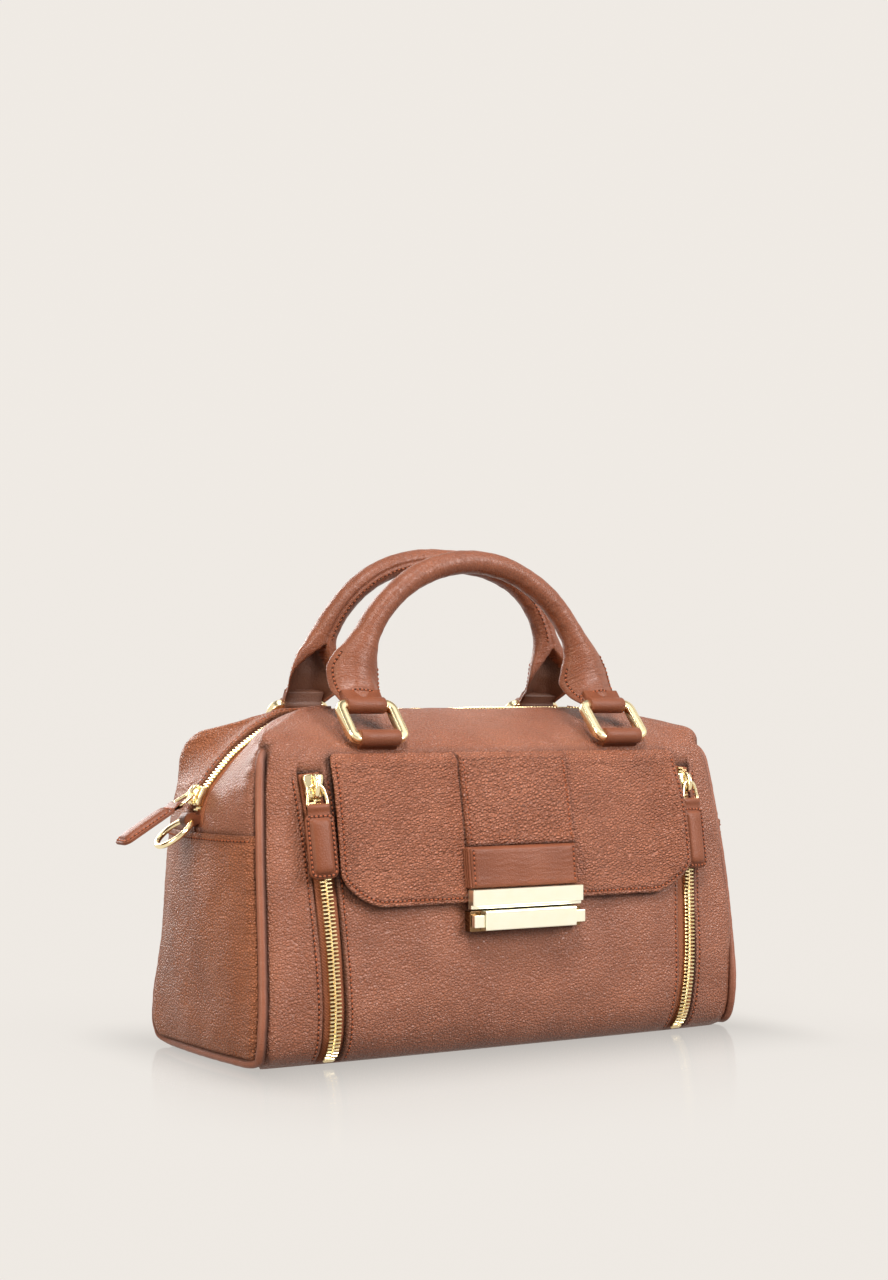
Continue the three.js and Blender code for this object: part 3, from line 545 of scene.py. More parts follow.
bodyTop = 170.4
bodyForm = {
    "z": [0, 3, 8, 16, 30, 45, 71, 99, 115, 127, 145, 153, 158, 163, 167, 169.5, bodyTop],
    "cornerX": [139.6, 143.0, 143.7, 143.1, 141.7, 140.5, 139.0, 137.2, 135.6, 134.4, 132.4, 130.4, 128.2,
                121.0, 108.0, 90.0, 78.0],
    "cornerY": [45.5, 50.5, 54.6, 57.2, 58.0, 57.2, 55.2, 52.0, 49.4, 47.4, 44.6, 42.4, 38.8, 30.6, 20.0,
                10.6, 7.2],
    "endX": [142.0, 146.0, 148.2, 149.8, 150.8, 151.2, 151.4, 150.8, 149.6, 146.6, 132.6, 123.6, 117.0,
             108.4, 98.2, 86.0, 77.0],
    "faceY": [48.5, 54.0, 58.6, 61.6, 63.2, 63.0, 61.2, 58.2, 56.0, 54.0, 50.2, 45.2, 37.6, 28.2, 18.8,
              10.8, 7.6],
    "round": [4, 4, 4, 4, 4, 4, 4, 4, 4, 4, 5, 7, 9, 10, 8, 5, 3],
    "endPower": 2.4, "facePower": 4,
}
bodyAt = {key: smoothColumn(bodyForm["z"], bodyForm[key])
          for key in ("cornerX", "cornerY", "endX", "faceY", "round")}
zipForm = {"slot": 5.8, "lowZ": 1.6, "highZ": 140.0, "topFrom": 113.0, "seamZ": 110.0,
           "stitch": 2.7, "topStitch": 3.2}
skinForm = {"end": 26, "corner": 8, "outer": 14, "slot": 4, "inner": 46, "rowStep": 1.8,
            "valley": 2.7, "valleyWidth": 2.5, "puff": 0.9, "layer": 1.1, "edge": 1.5}


def frontZipX(z):
    return 104.6 + 0.03 * z + 0.0002 * z * z


def faceAt(x, z):
    fY, cY, cX = bodyAt["faceY"](z), bodyAt["cornerY"](z), bodyAt["cornerX"](z)
    return fY - (fY - cY) * np.abs(x / cX) ** bodyForm["facePower"]


def quarter(zs):
    z = zs[:, None]
    cX, cY, eX, fY = (bodyAt[k](z) for k in ("cornerX", "cornerY", "endX", "faceY"))
    turn = np.minimum(bodyAt["round"](z), np.maximum(0.8, cY - 6.3))
    lastX, lastY = cX - turn, cY - turn
    endX = lambda y: eX - (eX - cX) * (y / cY) ** bodyForm["endPower"]
    faceY = lambda x: fY - (fY - cY) * (x / cX) ** bodyForm["facePower"]
    slot, top = zipForm["slot"], np.array([[zipForm["highZ"]]])
    topLast = bodyAt["cornerX"](top) - bodyAt["round"](top)
    slotOut = np.where(z <= zipForm["highZ"], frontZipX(z) + slot,
                       lastX * (frontZipX(top) + slot) / topLast)
    slotIn = np.where(z <= zipForm["highZ"], frontZipX(z) - slot, lastX * (frontZipX(top) - slot) / topLast)
    ones = np.ones_like(z)
    def share(count, power=1.0):
        return (np.arange(1, count + 1) / count)[None, :] ** power
    ends = np.concatenate([ones * 0, ones * slot / 2, ones * slot,
                           slot + (lastY - slot) * share(skinForm["end"], 1.2)], 1)
    parts = [(endX(ends), ends)]
    t = share(skinForm["corner"])
    aX, aY, bX, bY = endX(lastY), lastY, lastX, faceY(lastX)
    parts.append(((1 - t) ** 2 * aX + 2 * t * (1 - t) * cX + t * t * bX,
                  (1 - t) ** 2 * aY + 2 * t * (1 - t) * cY + t * t * bY))
    outer = slotOut + (lastX - slotOut) * (1 - share(skinForm["outer"])) ** 1.6
    gap = slotOut + (slotIn - slotOut) * share(skinForm["slot"])
    inner = slotIn * (1 - share(skinForm["inner"], 1.35))
    for x in (outer, gap, inner):
        parts.append((x, faceY(x)))
    gridX = np.concatenate([p[0] for p in parts], 1)
    gridY = np.concatenate([p[1] for p in parts], 1)
    columns = np.cumsum([0, 3 + skinForm["end"], skinForm["corner"], skinForm["outer"], skinForm["slot"],
                         skinForm["inner"]])
    return gridX, gridY, slotOut, slotIn, columns


def skinRows():
    fine = np.linspace(0, bodyTop, 4000)
    run = np.concatenate([[0], np.cumsum(np.hypot(np.diff(fine), np.diff(bodyAt["faceY"](fine))))])
    rows = np.interp(np.arange(0, run[-1], skinForm["rowStep"]), run, fine)
    special = [0, zipForm["lowZ"], zipForm["highZ"], zipForm["topFrom"], zipForm["seamZ"],
               zipForm["seamZ"] - 0.7, bodyTop]
    rows = [z for z in rows if min(abs(z - s) for s in special) > 0.4]
    return np.array(sorted(rows + special))


rows = skinRows()

# Small pulls of the corners: height, then along X and Y
cornerPull = {
    (-1, 1): ([0, 12, 28, 55, 75, 100, 120, 138, 150, 158, 165, bodyTop],
              [-1.0, -1.8, -1.8, -0.3, -0.9, -1.3, -1.9, -2.6, -3.8, -3.3, -1.5, 0],
              [0.6, 1.2, 1.2, 0.1, 0.5, 0.6, 1.1, 1.8, 3.0, 2.6, 1.2, 0]),
    (-1, -1): ([0, 8, 18, 28, 38, 58, 88, 108, 138, 158, 165, bodyTop],
               [0.7, 0.9, 0, -0.6, -1.0, -1.8, -2.6, -3.0, -3.5, -3.8, -1.8, 0],
               [-0.7, -0.9, 0, 0.5, 0.9, 1.7, 2.4, 2.8, 3.3, 3.5, 1.6, 0]),
    (1, -1): ([0, 12, 28, 45, 60, 80, 100, 130, 150, 160, bodyTop],
              [-2.4, -2.2, -0.5, 1.0, 1.9, 1.7, 1.5, 1.9, 1.4, 0.6, 0], [0] * 11),
}


def pullAt(z, handX, handY):
    if (handX, handY) not in cornerPull:
        return 0.0 * z, 0.0 * z
    heights, alongX, alongY = cornerPull[(handX, handY)]
    return np.interp(z, heights, alongX), np.interp(z, heights, alongY)


# Heights between which the cord sinks into the leather, front and back
cordFade = {-1: (148, 153), 1: (125, 138)}


# How far the cord at the front right is tucked round to the end
def tucked(z):
    return 2.2 * smoothStep(z, 25, 65)


quarterX, quarterY, slotOut, slotIn, columnStarts = quarter(rows)
cornerColumn = int(columnStarts[1] + skinForm["corner"] // 2)
quarterCount = quarterX.shape[1]


flapForm = {"left": 102.9, "rightTop": 105.8, "rightLow": 107.1, "topZ": 149.0, "lowZ": 75.0,
            "cornerRun": 23.0, "cornerRise": 16.5,
            "cornerPower": 1.55, "topRound": 4.0, "thick": 2.6, "standTop": 0.4, "standLow": 1.8,
            "flatness": 0.35, "edge": 1.3,
            "columns": 150, "rows": 80, "rightRaise": 2.9, "leftRaise": 1.0, "stitch": 2.5, "swell": 4.8,
            "stripLeft": 31.9, "stripRight": 33.7}


# Reach of the flap to one hand at a height, with a long cut corner below
def flapReach(z, hand):
    drop = flapForm["topZ"] - z
    wide = flapForm["left"]
    if hand >= 0:
        widening = flapForm["rightLow"] - flapForm["rightTop"]
        wide = flapForm["rightTop"] + widening * smoothStep(drop, 8, 40)
    t = np.clip((z - flapForm["lowZ"]) / flapForm["cornerRise"], 0, 1)
    power = flapForm["cornerPower"]
    cut = flapForm["cornerRun"] * (1 - np.clip(1 - (1 - t) ** power, 0, 1) ** (1 / power))
    high = flapForm["topRound"]
    down = np.clip(drop, 0, high)
    return wide - cut - (high - np.sqrt(np.clip(high ** 2 - (high - down) ** 2, 0, None)))


lockShade = {"halfX": 33.2, "z": 66.0, "halfZ": 5.0}


# Soft painted shadow on the front panel, under the rim of the flap, along its top edge and round the lock's
# lower half
def flapShade(x, z):
    hand = np.where(x < 0, -1, 1)
    reach = np.where(hand < 0, flapReach(z, -1), flapReach(z, 1))
    below = flapForm["lowZ"] - z
    beside = np.abs(x) - reach
    away = np.where(below > 0,
                    np.hypot(below, np.clip(np.abs(x) - flapReach(flapForm["lowZ"] + 0.2, 1), 0, None)),
                    beside * 0.8)
    rim = 0.85 * np.exp(-np.clip(away, 0, None) / 1.5) * (away > -12) * (1 - smoothStep(z, 147, 149.5))
    lock = np.hypot(np.clip(np.abs(x) - lockShade["halfX"], 0, None),
                    np.clip(np.abs(z - lockShade["z"]) - lockShade["halfZ"], 0, None))
    top = 0.45 * hump(z - flapForm["topZ"] - 0.9, 0.9) * (np.abs(x) < flapForm["left"])
    return np.maximum(np.maximum(rim, top), 0.8 * np.exp(-lock / 1.3))


# Waves and folds of the skin: how high they stand, and where
foldForm = {"wave": 0.55, "wavelet": 0.16, "pucker": {-1: 0.42, 1: 0.06}, "facePucker": 0.10,
            "dart": 2.3, "dartZ": 156.5, "notch": 1.1, "notchZ": 150.2, "backSwell": 2.1, "fan": 0.42,
            "zipRecess": 1.8, "stitchDip": 0.35, "seamDip": 0.9, "slack": 1.3, "slackY": 20, "slackZ": 94}


# Half of the skin, front (-1) or back (1), from the middle of the left end to that of the right end
def halfSkin(side):
    both = lambda a: np.concatenate([a, a[:, ::-1][:, 1:]], 1)
    gridX = np.concatenate([-quarterX, quarterX[:, ::-1][:, 1:]], 1)
    gridY = both(quarterY) * side
    gridZ = np.broadcast_to(rows[:, None], gridX.shape)
    points = np.stack([gridX, gridY, gridZ], -1)
    size = np.linalg.norm(np.diff(np.stack([quarterX, quarterY], -1), axis=1), axis=-1)
    run = np.concatenate([np.zeros((len(rows), 1)), np.cumsum(size, 1)], 1)
    corner = both(run - run[:, cornerColumn:cornerColumn + 1])
    fromIn, fromOut = both(slotIn - quarterX), both(quarterX - slotOut)
    for handX in (-1, 1):
        dx, dy = pullAt(rows, handX, side)
        near = hump(corner, 24) * (np.sign(gridX) == handX)
        if side < 0:
            near = near * np.where(corner < 0, 1.0, smoothStep(fromOut, 0.5, 11))
        points[..., 0] += near * dx[:, None]
        points[..., 1] += near * dy[:, None]
    normals = gridNormals(points, np.stack([gridX, gridY, gridZ * 0 + 10], -1))
    absX, absY = np.abs(gridX), np.abs(gridY)
    isEnd = corner < 0

    lift = foldForm["wave"] * ripple(points, 46, 11 + side)
    lift += foldForm["wavelet"] * ripple(points, 17, 12 + side)
    lift *= smoothStep(gridZ, 1, 14)
    cord = corner + np.where((gridX > 0) & (side < 0), tucked(gridZ), 0)
    piped = smoothStep(gridZ, 2, 6) * (1 - smoothStep(gridZ, *cordFade[side]))
    lift += piped * (-skinForm["valley"] * hump(cord, skinForm["valleyWidth"])
                     + skinForm["puff"] * hump(np.abs(cord) - 7, 4.5))
    # puckers where the leather is eased on to the cord
    pucker = np.sin(gridZ * 1.05 + 1.6 * ripple(points, 26, 31))
    lift += piped * foldForm["pucker"][side] * hump(corner + 7, 5) * pucker
    facePucker = np.sin(gridZ * 1.2 + 1.6 * ripple(points, 24, 32))
    lift += piped * foldForm["facePucker"] * hump(corner - 6, 3.5) * facePucker
    # dart over the end of the cord
    reach = np.hypot(corner, (gridZ - 154) * 1.1)
    fan = np.arctan2(gridZ - 151, corner + 0.001)
    if side < 0:
        dart = foldForm["dart"] * hump(corner, 6.0) * hump(gridZ - foldForm["dartZ"], 4.2)
        lift += dart - foldForm["notch"] * hump(corner, 2.4) * hump(gridZ - foldForm["notchZ"], 2.6)
    else:
        swell = foldForm["backSwell"] * hump(corner, 7.5) * smoothStep(gridZ, 126, 138)
        lift += swell * (1 - smoothStep(gridZ, 152, 164))
    lift += foldForm["fan"] * np.exp(-reach / 11) * np.cos(7 * fan + 0.6) * (gridZ > 140)
    # rolled edges along the zips
    if side < 0:
        zipped = smoothStep(gridZ, 0.2, 2.2) * (1 - smoothStep(gridZ, 139.5, 145))
        inSide, outSide = (fromIn >= -0.01) & ~isEnd, (fromOut >= -0.01) & ~isEnd
        level, recess, dip = skinForm["layer"], foldForm["zipRecess"], foldForm["stitchDip"]
        lift += np.where(inSide, zipped * ((level + recess) * rolledEdge(fromIn, skinForm["edge"]) - recess
                                            - dip * hump(fromIn - zipForm["stitch"], 0.55)), 0)
        lift += np.where(outSide, zipped * ((0.3 + recess) * rolledEdge(fromOut, skinForm["edge"]) - recess
                                             - dip * hump(fromOut - zipForm["stitch"], 0.55)
                                            - 0.3 * smoothStep(fromOut, 3, 9)), 0)
        lift += np.where(~inSide & ~outSide & ~isEnd, -recess * zipped, 0)
    topEdge = np.where(isEnd, smoothStep(gridZ, 112, 116), 0) * smoothStep(absY, 0, 3)
    gap = absY - zipForm["slot"]
    if side > 0:
        level = 0.8 + 0.6 * smoothStep(gridZ, 143, 157)
    else:
        level = -0.4 + 1.9 * smoothStep(gridZ, 146, 160)
    lift += topEdge * ((1.7 + level) * rolledEdge(gap, 1.7) - 1.7 - level * smoothStep(gap, 5, 12)
                       - (0.3 * hump(gap - zipForm["topStitch"], 0.6) if side > 0 else 0))
    if side > 0:
        crease = np.sin(gridZ * 0.9 + absY * 0.25 + 1.2 * ripple(points, 22, 41))
        lift += 0.45 * hump(gridZ - 128, 13) * isEnd * (1 - hump(corner, 16)) * crease
    lift += np.where(isEnd, -foldForm["seamDip"] * hump(gridZ - zipForm["seamZ"] + 1, 2.2), 0)
    # slack under the strap ring
    slack = foldForm["slack"] * hump(gridY - foldForm["slackY"], 11) * hump(gridZ - foldForm["slackZ"], 13)
    lift -= np.where(isEnd & (gridX < 0), slack, 0)
    points = points + normals * lift[..., None]

    # painted shade: beside the cord, over its upper end, under the ends' top seam and along their foot, at
    # the edges of the top zip and the front slots, in the slots' stitch grooves and at their tops, and
    # under the flap and round the lock
    dim = 0.9 * piped * (1 - np.where(cord > 0, smoothStep(cord, 1.9, 3.0), smoothStep(-cord, 2.8, 4.0)))
    dim = np.maximum(dim, 0.85 * hump(corner, 2.0) * hump(gridZ - 152.0, 1.5))
    dim = np.maximum(dim, np.where(isEnd, 0.8 * hump(gridZ - zipForm["seamZ"] - 0.3, 0.7), 0))
    dim = np.maximum(dim, np.where(isEnd, 0.85 * (1 - smoothStep(gridZ, 4.8, 6.4)), 0))
    dim = np.maximum(dim, topEdge * 0.85 * (1 - smoothStep(gap, 0.1, 1.3)))
    if side < 0:
        slotSide = np.minimum(np.where(inSide, fromIn, 99), np.where(outSide, fromOut, 99))
        dim = np.maximum(dim, zipped * 0.85 * (1 - smoothStep(slotSide, 0.15, 1.4)))
        dim = np.maximum(dim, 0.35 * zipped * hump(slotSide - zipForm["stitch"], 0.5))
        dim = np.maximum(dim, 0.9 * hump(gridZ - 140.4, 1.5)
                         * (1 - smoothStep(np.abs(absX - frontZipX(gridZ)), 5.5, 7.5)) * ~isEnd)
        dim = np.maximum(dim, np.where(isEnd, 0, flapShade(gridX, gridZ)))

    # top rows that turn over the edge of the zip
    tops = []
    for share, drop in ((0.45, -0.05), (0.12, 0.25), (0.0, 0.8), (0.0, 2.0)):
        row = points[-1].copy()
        row[:, 1] = side * (zipForm["slot"] + (np.abs(row[:, 1]) - zipForm["slot"]).clip(0) * share)
        row[:, 2] -= drop
        tops.append(row)
    under = points[0].copy()
    under[:, 1] = np.sign(under[:, 1]) * np.minimum(np.abs(under[:, 1]), 43.6)
    under[:, 0] *= 0.99
    points = np.concatenate([[under], points, tops], 0)
    heights = np.concatenate([[-1.0], rows, [171, 172, 173, 174]])
    skin = {"points": points, "heights": heights}
    for key, values in (("corner", corner), ("dim", dim), ("fromIn", fromIn), ("fromOut", fromOut)):
        skin[key] = np.concatenate([values[:1], values, np.repeat(values[-1:], 4, 0)])
    return skin


frontSkin, backSkin = halfSkin(-1), halfSkin(1)
halfCount = frontSkin["points"].shape[1]
middleHeight = (frontSkin["heights"][:-1] + frontSkin["heights"][1:]) / 2
columnIndex = np.arange(halfCount - 1)
mirrored = np.minimum(columnIndex, halfCount - 2 - columnIndex)


def panelFaces(side):
    h = middleHeight[:, None]
    m = mirrored[None, :]
    keep = np.ones((len(middleHeight), halfCount - 1), bool)
    keep &= ~((m < cornerColumn) & (h < zipForm["seamZ"] - 0.7))
    keep &= ~((m < 2) & (h > zipForm["topFrom"]))
    if side < 0:
        inSlot = (m >= columnStarts[3] - 1) & (m < columnStarts[4] - 1)
        keep &= ~(inSlot & (h > zipForm["lowZ"]) & (h < zipForm["highZ"]))
    return keep


def thicken(piece, depth=1.5):
    modifier = piece.modifiers.new("leatherThickness", "SOLIDIFY")
    modifier.thickness = depth * mm
    modifier.offset = -1
    return piece


for skin, side, name, node in ((frontSkin, -1, "frontPanel", "front_panel"),
                               (backSkin, 1, "backPanel", "back_panel")):
    faces = gridFaces(*skin["points"].shape[:2], keep=panelFaces(side))
    if side < 0:
        faces = faces[:, ::-1]
    makePiece(name, skin["points"], faces[:, ::-1], bodyLeather if side < 0 else endLeather, "bag",
              (node,), skin["points"] * [1, 0, 1],
              dim=skin["dim"])
print("front and back panels made")


# End panels run up to the seam under the strap ring, where their edge is folded over
endForm = {"lip": 1.0, "lipWidth": 5.0, "stitch": 3.0}


def endPanel(left):
    pick = np.arange(cornerColumn, -1, -1)
    if not left:
        pick = halfCount - 1 - pick
    rowPick = np.where((frontSkin["heights"] >= 1.0) & (frontSkin["heights"] <= zipForm["seamZ"]))[0]
    def joined(key):
        front = frontSkin[key][np.ix_(rowPick, pick)]
        return np.concatenate([front, backSkin[key][np.ix_(rowPick, pick[::-1][1:])]], 1)
    points, dim = joined("points"), joined("dim")
    z = points[..., 2]
    normals = gridNormals(points, points * [1, 0, 0])
    fromTop = zipForm["seamZ"] - z
    fromCord = -joined("corner")
    lip = endForm["lip"] * (1 - smoothStep(fromTop, 1, endForm["lipWidth"])) * smoothStep(fromCord, 2, 9)
    lift = lip + 0.9 * hump(fromTop - 1, 2.2)
    lift -= 0.35 * hump(fromTop - endForm["stitch"], 0.7)
    lift -= 1.2 * hump(z - 2.4, 2.0)
    points = points + normals * lift[..., None]
    fold = points[-1] + normals[-1] * -0.5 + [0, 0, 0.35]
    tuck = points[-1] + normals[-1] * -2.0 + [0, 0, 0.2]
    # the painted shade brought over from the panels is held to 0.4 near the top seam
    dim = np.where(fromTop < 5, np.minimum(dim, 0.4), dim)
    return np.concatenate([points, [fold], [tuck]], 0), np.concatenate([dim, dim[-1:], dim[-1:]], 0)


endSkins = {}
for name, node, left in (("endPanelLeft", "end_panel_left", True),
                         ("endPanelRight", "end_panel_right", False)):
    points, dim = endPanel(left)
    endSkins[name] = points
    faces = gridFaces(*points.shape[:2])
    faces = faces[:, ::-1] if left else faces
    makePiece(name, points, faces, endLeather, "bag", (node,), points * [0, 1, 1], dim=dim)
print("end panels made")


# Base, set in between the panels' lower edges
baseForm = {"halfY": 43.8, "edge": 2.5, "columns": 60, "rows": 24}


def makeBase():
    u = np.linspace(-1, 1, baseForm["columns"])[None, :]
    v = np.linspace(-1, 1, baseForm["rows"])[:, None]
    y = baseForm["halfY"] * v + 0 * u
    reach = 139.0 + 2.0 * (1 - v * v)
    x = reach * u
    inset = np.minimum(reach - np.abs(x), baseForm["halfY"] - np.abs(y))
    low = 1.0 * (1 - rolledEdge(inset, baseForm["edge"]))
    lower = np.stack([x, y, low], -1)
    upper = np.stack([x, y, np.full_like(x, 2.4)], -1)
    shape = Builder()
    rowsCount, columnsCount = lower.shape[:2]
    shape.add(lower, gridFaces(rowsCount, columnsCount)[:, ::-1], lower)
    shape.add(upper, gridFaces(rowsCount, columnsCount), upper)
    return shape.piece("basePanel", bodyLeather, "bag", "leather", ("base_panel",))


makeBase()


# Cord piping round each end, its upper ends drawn in under the dart
pipingForm = {"radius": 2.3, "inset": 1.0, "baseZ": 2.9, "sides": 14,
              "sink": {-1: (144.2, 7.0), 1: (130.0, 9.0)},
              "heights": [150.6, 149.2, 147, 143.5, 136, 127, 113, 95, 75, 50, 30, 19, 12, 7.5, 4.6]}


def makePiping(side, name, node):
    def corner(z, ySide):
        dx, dy = pullAt(z, side, ySide)
        sinkFrom, sinkRun = pipingForm["sink"][ySide]
        inset = 0.25 * float(bodyAt["round"](z)) + 3.0 * max(0.0, (z - sinkFrom) / sinkRun) ** 2
        dy = dy + (tucked(z) if side > 0 > ySide else 0.0)
        return (side * (float(bodyAt["cornerX"](z)) - inset) + float(dx),
                ySide * (float(bodyAt["cornerY"](z)) - inset) + float(dy), z)
    cX, cY, eX = (float(bodyAt[k](pipingForm["baseZ"])) for k in ("cornerX", "cornerY", "endX"))
    across = [(side * (cX - pipingForm["inset"] + (eX - cX) * (1 - t * t)), t * cY, pipingForm["baseZ"])
              for t in (-0.86, -0.6, -0.3, 0, 0.3, 0.6, 0.86)]
    down = [corner(z, -1) for z in pipingForm["heights"]]
    guide = down + across + [corner(z, 1) for z in reversed(pipingForm["heights"])]
    path = resample(catmull(guide, 12), 1.3)
    fromEnd = np.minimum(np.arange(len(path)), len(path) - 1 - np.arange(len(path))) * 1.3
    backEnd = np.arange(len(path)) > len(path) / 2
    radius = pipingForm["radius"] * (0.45
                                     + 0.55 * np.where(backEnd, smoothStep(fromEnd, 0, 22),
                                                       rolledEdge(fromEnd, 4.0)))
    radius = radius + 0.07 * np.sin(np.arange(len(path)) * 0.9) * np.sin(np.arange(len(path)) * 0.23)
    shape = Builder()
    points, faces, lay = tube(path, radius, pipingForm["sides"], (side, 0, 0))
    # the cord's sides, turned from the outside, are painted darker, more so at the front: painted shade
    outward = np.stack([np.full(len(path), 0.75 * side), np.clip(path[:, 1] / 40, -0.66, 0.66),
                        -0.4 * (path[:, 2] < 6)], -1)
    facing = (unit(points.reshape(len(path), -1, 3) - path[:, None]) * unit(outward)[:, None]).sum(-1)
    shape.add(points, faces, lay, (0.85 if side < 0 else 0.35) * (1 - smoothStep(facing, 0.25, 0.85)))
    shape.piece(name, pipingLeather, "bag", "smooth_leather", (node,))


makePiping(-1, "pipingLeft", "piping_left")
makePiping(1, "pipingRight", "piping_right")
print("base and piping made")


# Rounded rectangle, drawn round in its own plane
def roundedOutline(halfWidth, low, high, turn, steps=7, topTurn=None):
    topTurn = turn if topTurn is None else topTurn
    points = []
    for hand, level, radius, start in ((1, high, topTurn, 0), (-1, high, topTurn, 90), (-1, low, turn, 180),
                                       (1, low, turn, 270)):
        for k in range(steps + 1):
            angle = math.radians(start + 90 * k / steps)
            points.append((hand * (halfWidth - radius) + radius * math.cos(angle),
                           level + (radius if level == low else -radius) + radius * math.sin(angle)))
    return np.array(points)


def offsetOutline(outline, inset):
    before, after = np.roll(outline, 1, 0), np.roll(outline, -1, 0)
    way = unit(after - before)
    return outline + np.stack([-way[:, 1], way[:, 0]], -1) * inset


# Closed slab: layers hold (inset, height) from the back face over the edge to the front face
def slab(outlineAt, layers, place):
    rings = [np.column_stack([outlineAt(inset), np.full(len(outlineAt(inset)), height)]) for inset,
             height in layers]
    return place(np.concatenate(rings)), cappedFaces(len(layers), len(rings[0]))


# Zips: woven tape, rows of teeth, slider, link and leather tab

zipLook = {"tape": 5.7, "pitch": 1.9, "tooth": 0.62, "reach": 3.15, "overlap": 0.55, "low": -0.5,
           "high": 1.35}


def frontZipFrames(side, lowZ, highZ, step, bow=0.0):
    z = np.linspace(lowZ, highZ, 600)
    x = side * frontZipX(z) + bow * smoothStep(z, 8, 45) * (1 - smoothStep(z, 90, 130))
    path = resample(np.stack([x, -faceAt(x, z), z], -1), step)
    along = unit(np.gradient(path, axis=0))
    spread = np.stack([np.ones(len(path)),
                       -(faceAt(path[:, 0] + 0.5, path[:, 2]) - faceAt(path[:, 0] - 0.5, path[:, 2])),
                       np.zeros(len(path))], -1)
    normal = unit(np.cross(spread, along))
    return path, along, unit(np.cross(along, normal)), normal


def topZipFrames(lowZ, step):
    z = np.linspace(lowZ, bodyTop, 900)
    left = np.stack([-bodyAt["endX"](z), 0 * z, z], -1)
    flat = np.array([[x, 0, bodyTop + 0.2 * (1 - (x / 77) ** 2)] for x in np.linspace(-76, 76, 60)])
    right = left[::-1] * [-1, 1, 1]
    path = resample(np.concatenate([left, flat, right]), step)
    along = unit(np.gradient(path, axis=0))
    side = np.broadcast_to([0.0, -1.0, 0.0], path.shape)
    return path, along, side, unit(np.cross(side, along))


def makeTapePiece(name, node, frames):
    path, along, side, normal = frames
    places = np.array([-1, -0.8, -0.55, -0.35, -0.2, 0, 0.2, 0.35, 0.55, 0.8, 1])
    heights = np.array([-1.2, -0.9, -0.75, -0.65, -0.75, -0.9, -0.75, -0.65, -0.75, -0.9, -1.2])
    across = side[:, None] * (places * zipLook["tape"])[None, :, None]
    points = path[:, None] + across + normal[:, None] * heights[None, :, None]
    run = lengthAlong(path)
    lay = np.stack(np.broadcast_arrays(run[:, None], (places * zipLook["tape"])[None, :], 0.0), -1)
    faces = gridFaces(*points.shape[:2])
    piece = makePiece(name, points, faces, zipTapeWeave, "bag", (node,), lay)
    thicken(piece, 0.5)


def makeTeeth(name, node, frameMaker, raised=lambda spot: 0.0):
    shape = Builder()
    path, along, side, normal = frameMaker(zipLook["pitch"] / 2)
    a, low, high = zipLook["tooth"], zipLook["low"], zipLook["high"]
    for k in range(len(path)):
        hand = 1 if k % 2 else -1
        corners = []
        for inset, h in ((0, low), (0, high * 0.62), (0.26, high)):
            for u, v in ((-a + inset, -zipLook["overlap"] + inset),
                         (a - inset, -zipLook["overlap"] + inset),
                         (a - inset, zipLook["reach"] - inset), (-a + inset, zipLook["reach"] - inset)):
                corners.append(path[k] + along[k] * u + side[k] * v * hand
                               + normal[k] * (h + raised(path[k])))
        faces = [tuple(f) for f in gridFaces(3, 4, wrap=True)] + [(8, 9, 10, 11)]
        shape.add(corners, faces if hand < 0 else [f[::-1] for f in faces])
    return shape.piece(name, toothGold, "bag", "gold_metal", (node,), smooth=False)


for side, name, node in ((-1, "leftZip", "left_zip"), (1, "rightZip", "right_zip")):
    makeTapePiece(name + "Tape", node + "_tape", frontZipFrames(side, 1.2, 139.8, 2.0))
    makeTeeth(name + "Teeth", node + "_chain", lambda step,
              s=side: frontZipFrames(s, 4.6, 138.5, step, 1.6 if s > 0 else 0.0))

# Stop at the foot of each front zip
zipStop = {"halfWidth": 2.9, "length": 3.0, "low": -0.6, "high": 1.5}
for side, name in ((-1, "leftZipStop"), (1, "rightZipStop")):
    path, along, across, normal = frontZipFrames(side, 2.0, 8.0, 0.5)
    stop = Builder()
    place = lambda q: path[2] + q[:, :1] * across[2] + q[:, 1:2] * along[2] + q[:, 2:3] * normal[2]
    stop.add(*slab(lambda inset: roundedOutline(zipStop["halfWidth"] - inset, inset,
                                                zipStop["length"] - inset, max(0.7 - inset, 0.05), 5),
                   [(0.2, zipStop["low"]), (0, zipStop["low"] + 0.2), (0, zipStop["high"] - 0.5),
                    (0.4, zipStop["high"])], place))
    stop.piece(name, toothGold, "bag", "gold_metal")
makeTapePiece("topZipTape", "top_zip_tape", topZipFrames(111.0, 2.0))
makeTeeth("topZipTeeth", "top_zip_chain", lambda step: topZipFrames(121.0, step),
          lambda spot: -0.55 - 0.6 * float(smoothStep(spot[2], 146, 159))
          + 0.8 * float(smoothStep(spot[0], -10, 20)))
print("zips made")


pullForm = {"barHeight": 5.4, "linkHalf": 6.0, "linkLength": 12.0, "linkBack": 0.9, "wire": 0.88,
            "tabHalf": 7.5, "tabThick": 2.0, "pad": 1.8, "neckHalf": 5.8, "neckLength": 3.4,
            "tabRound": 4.0}


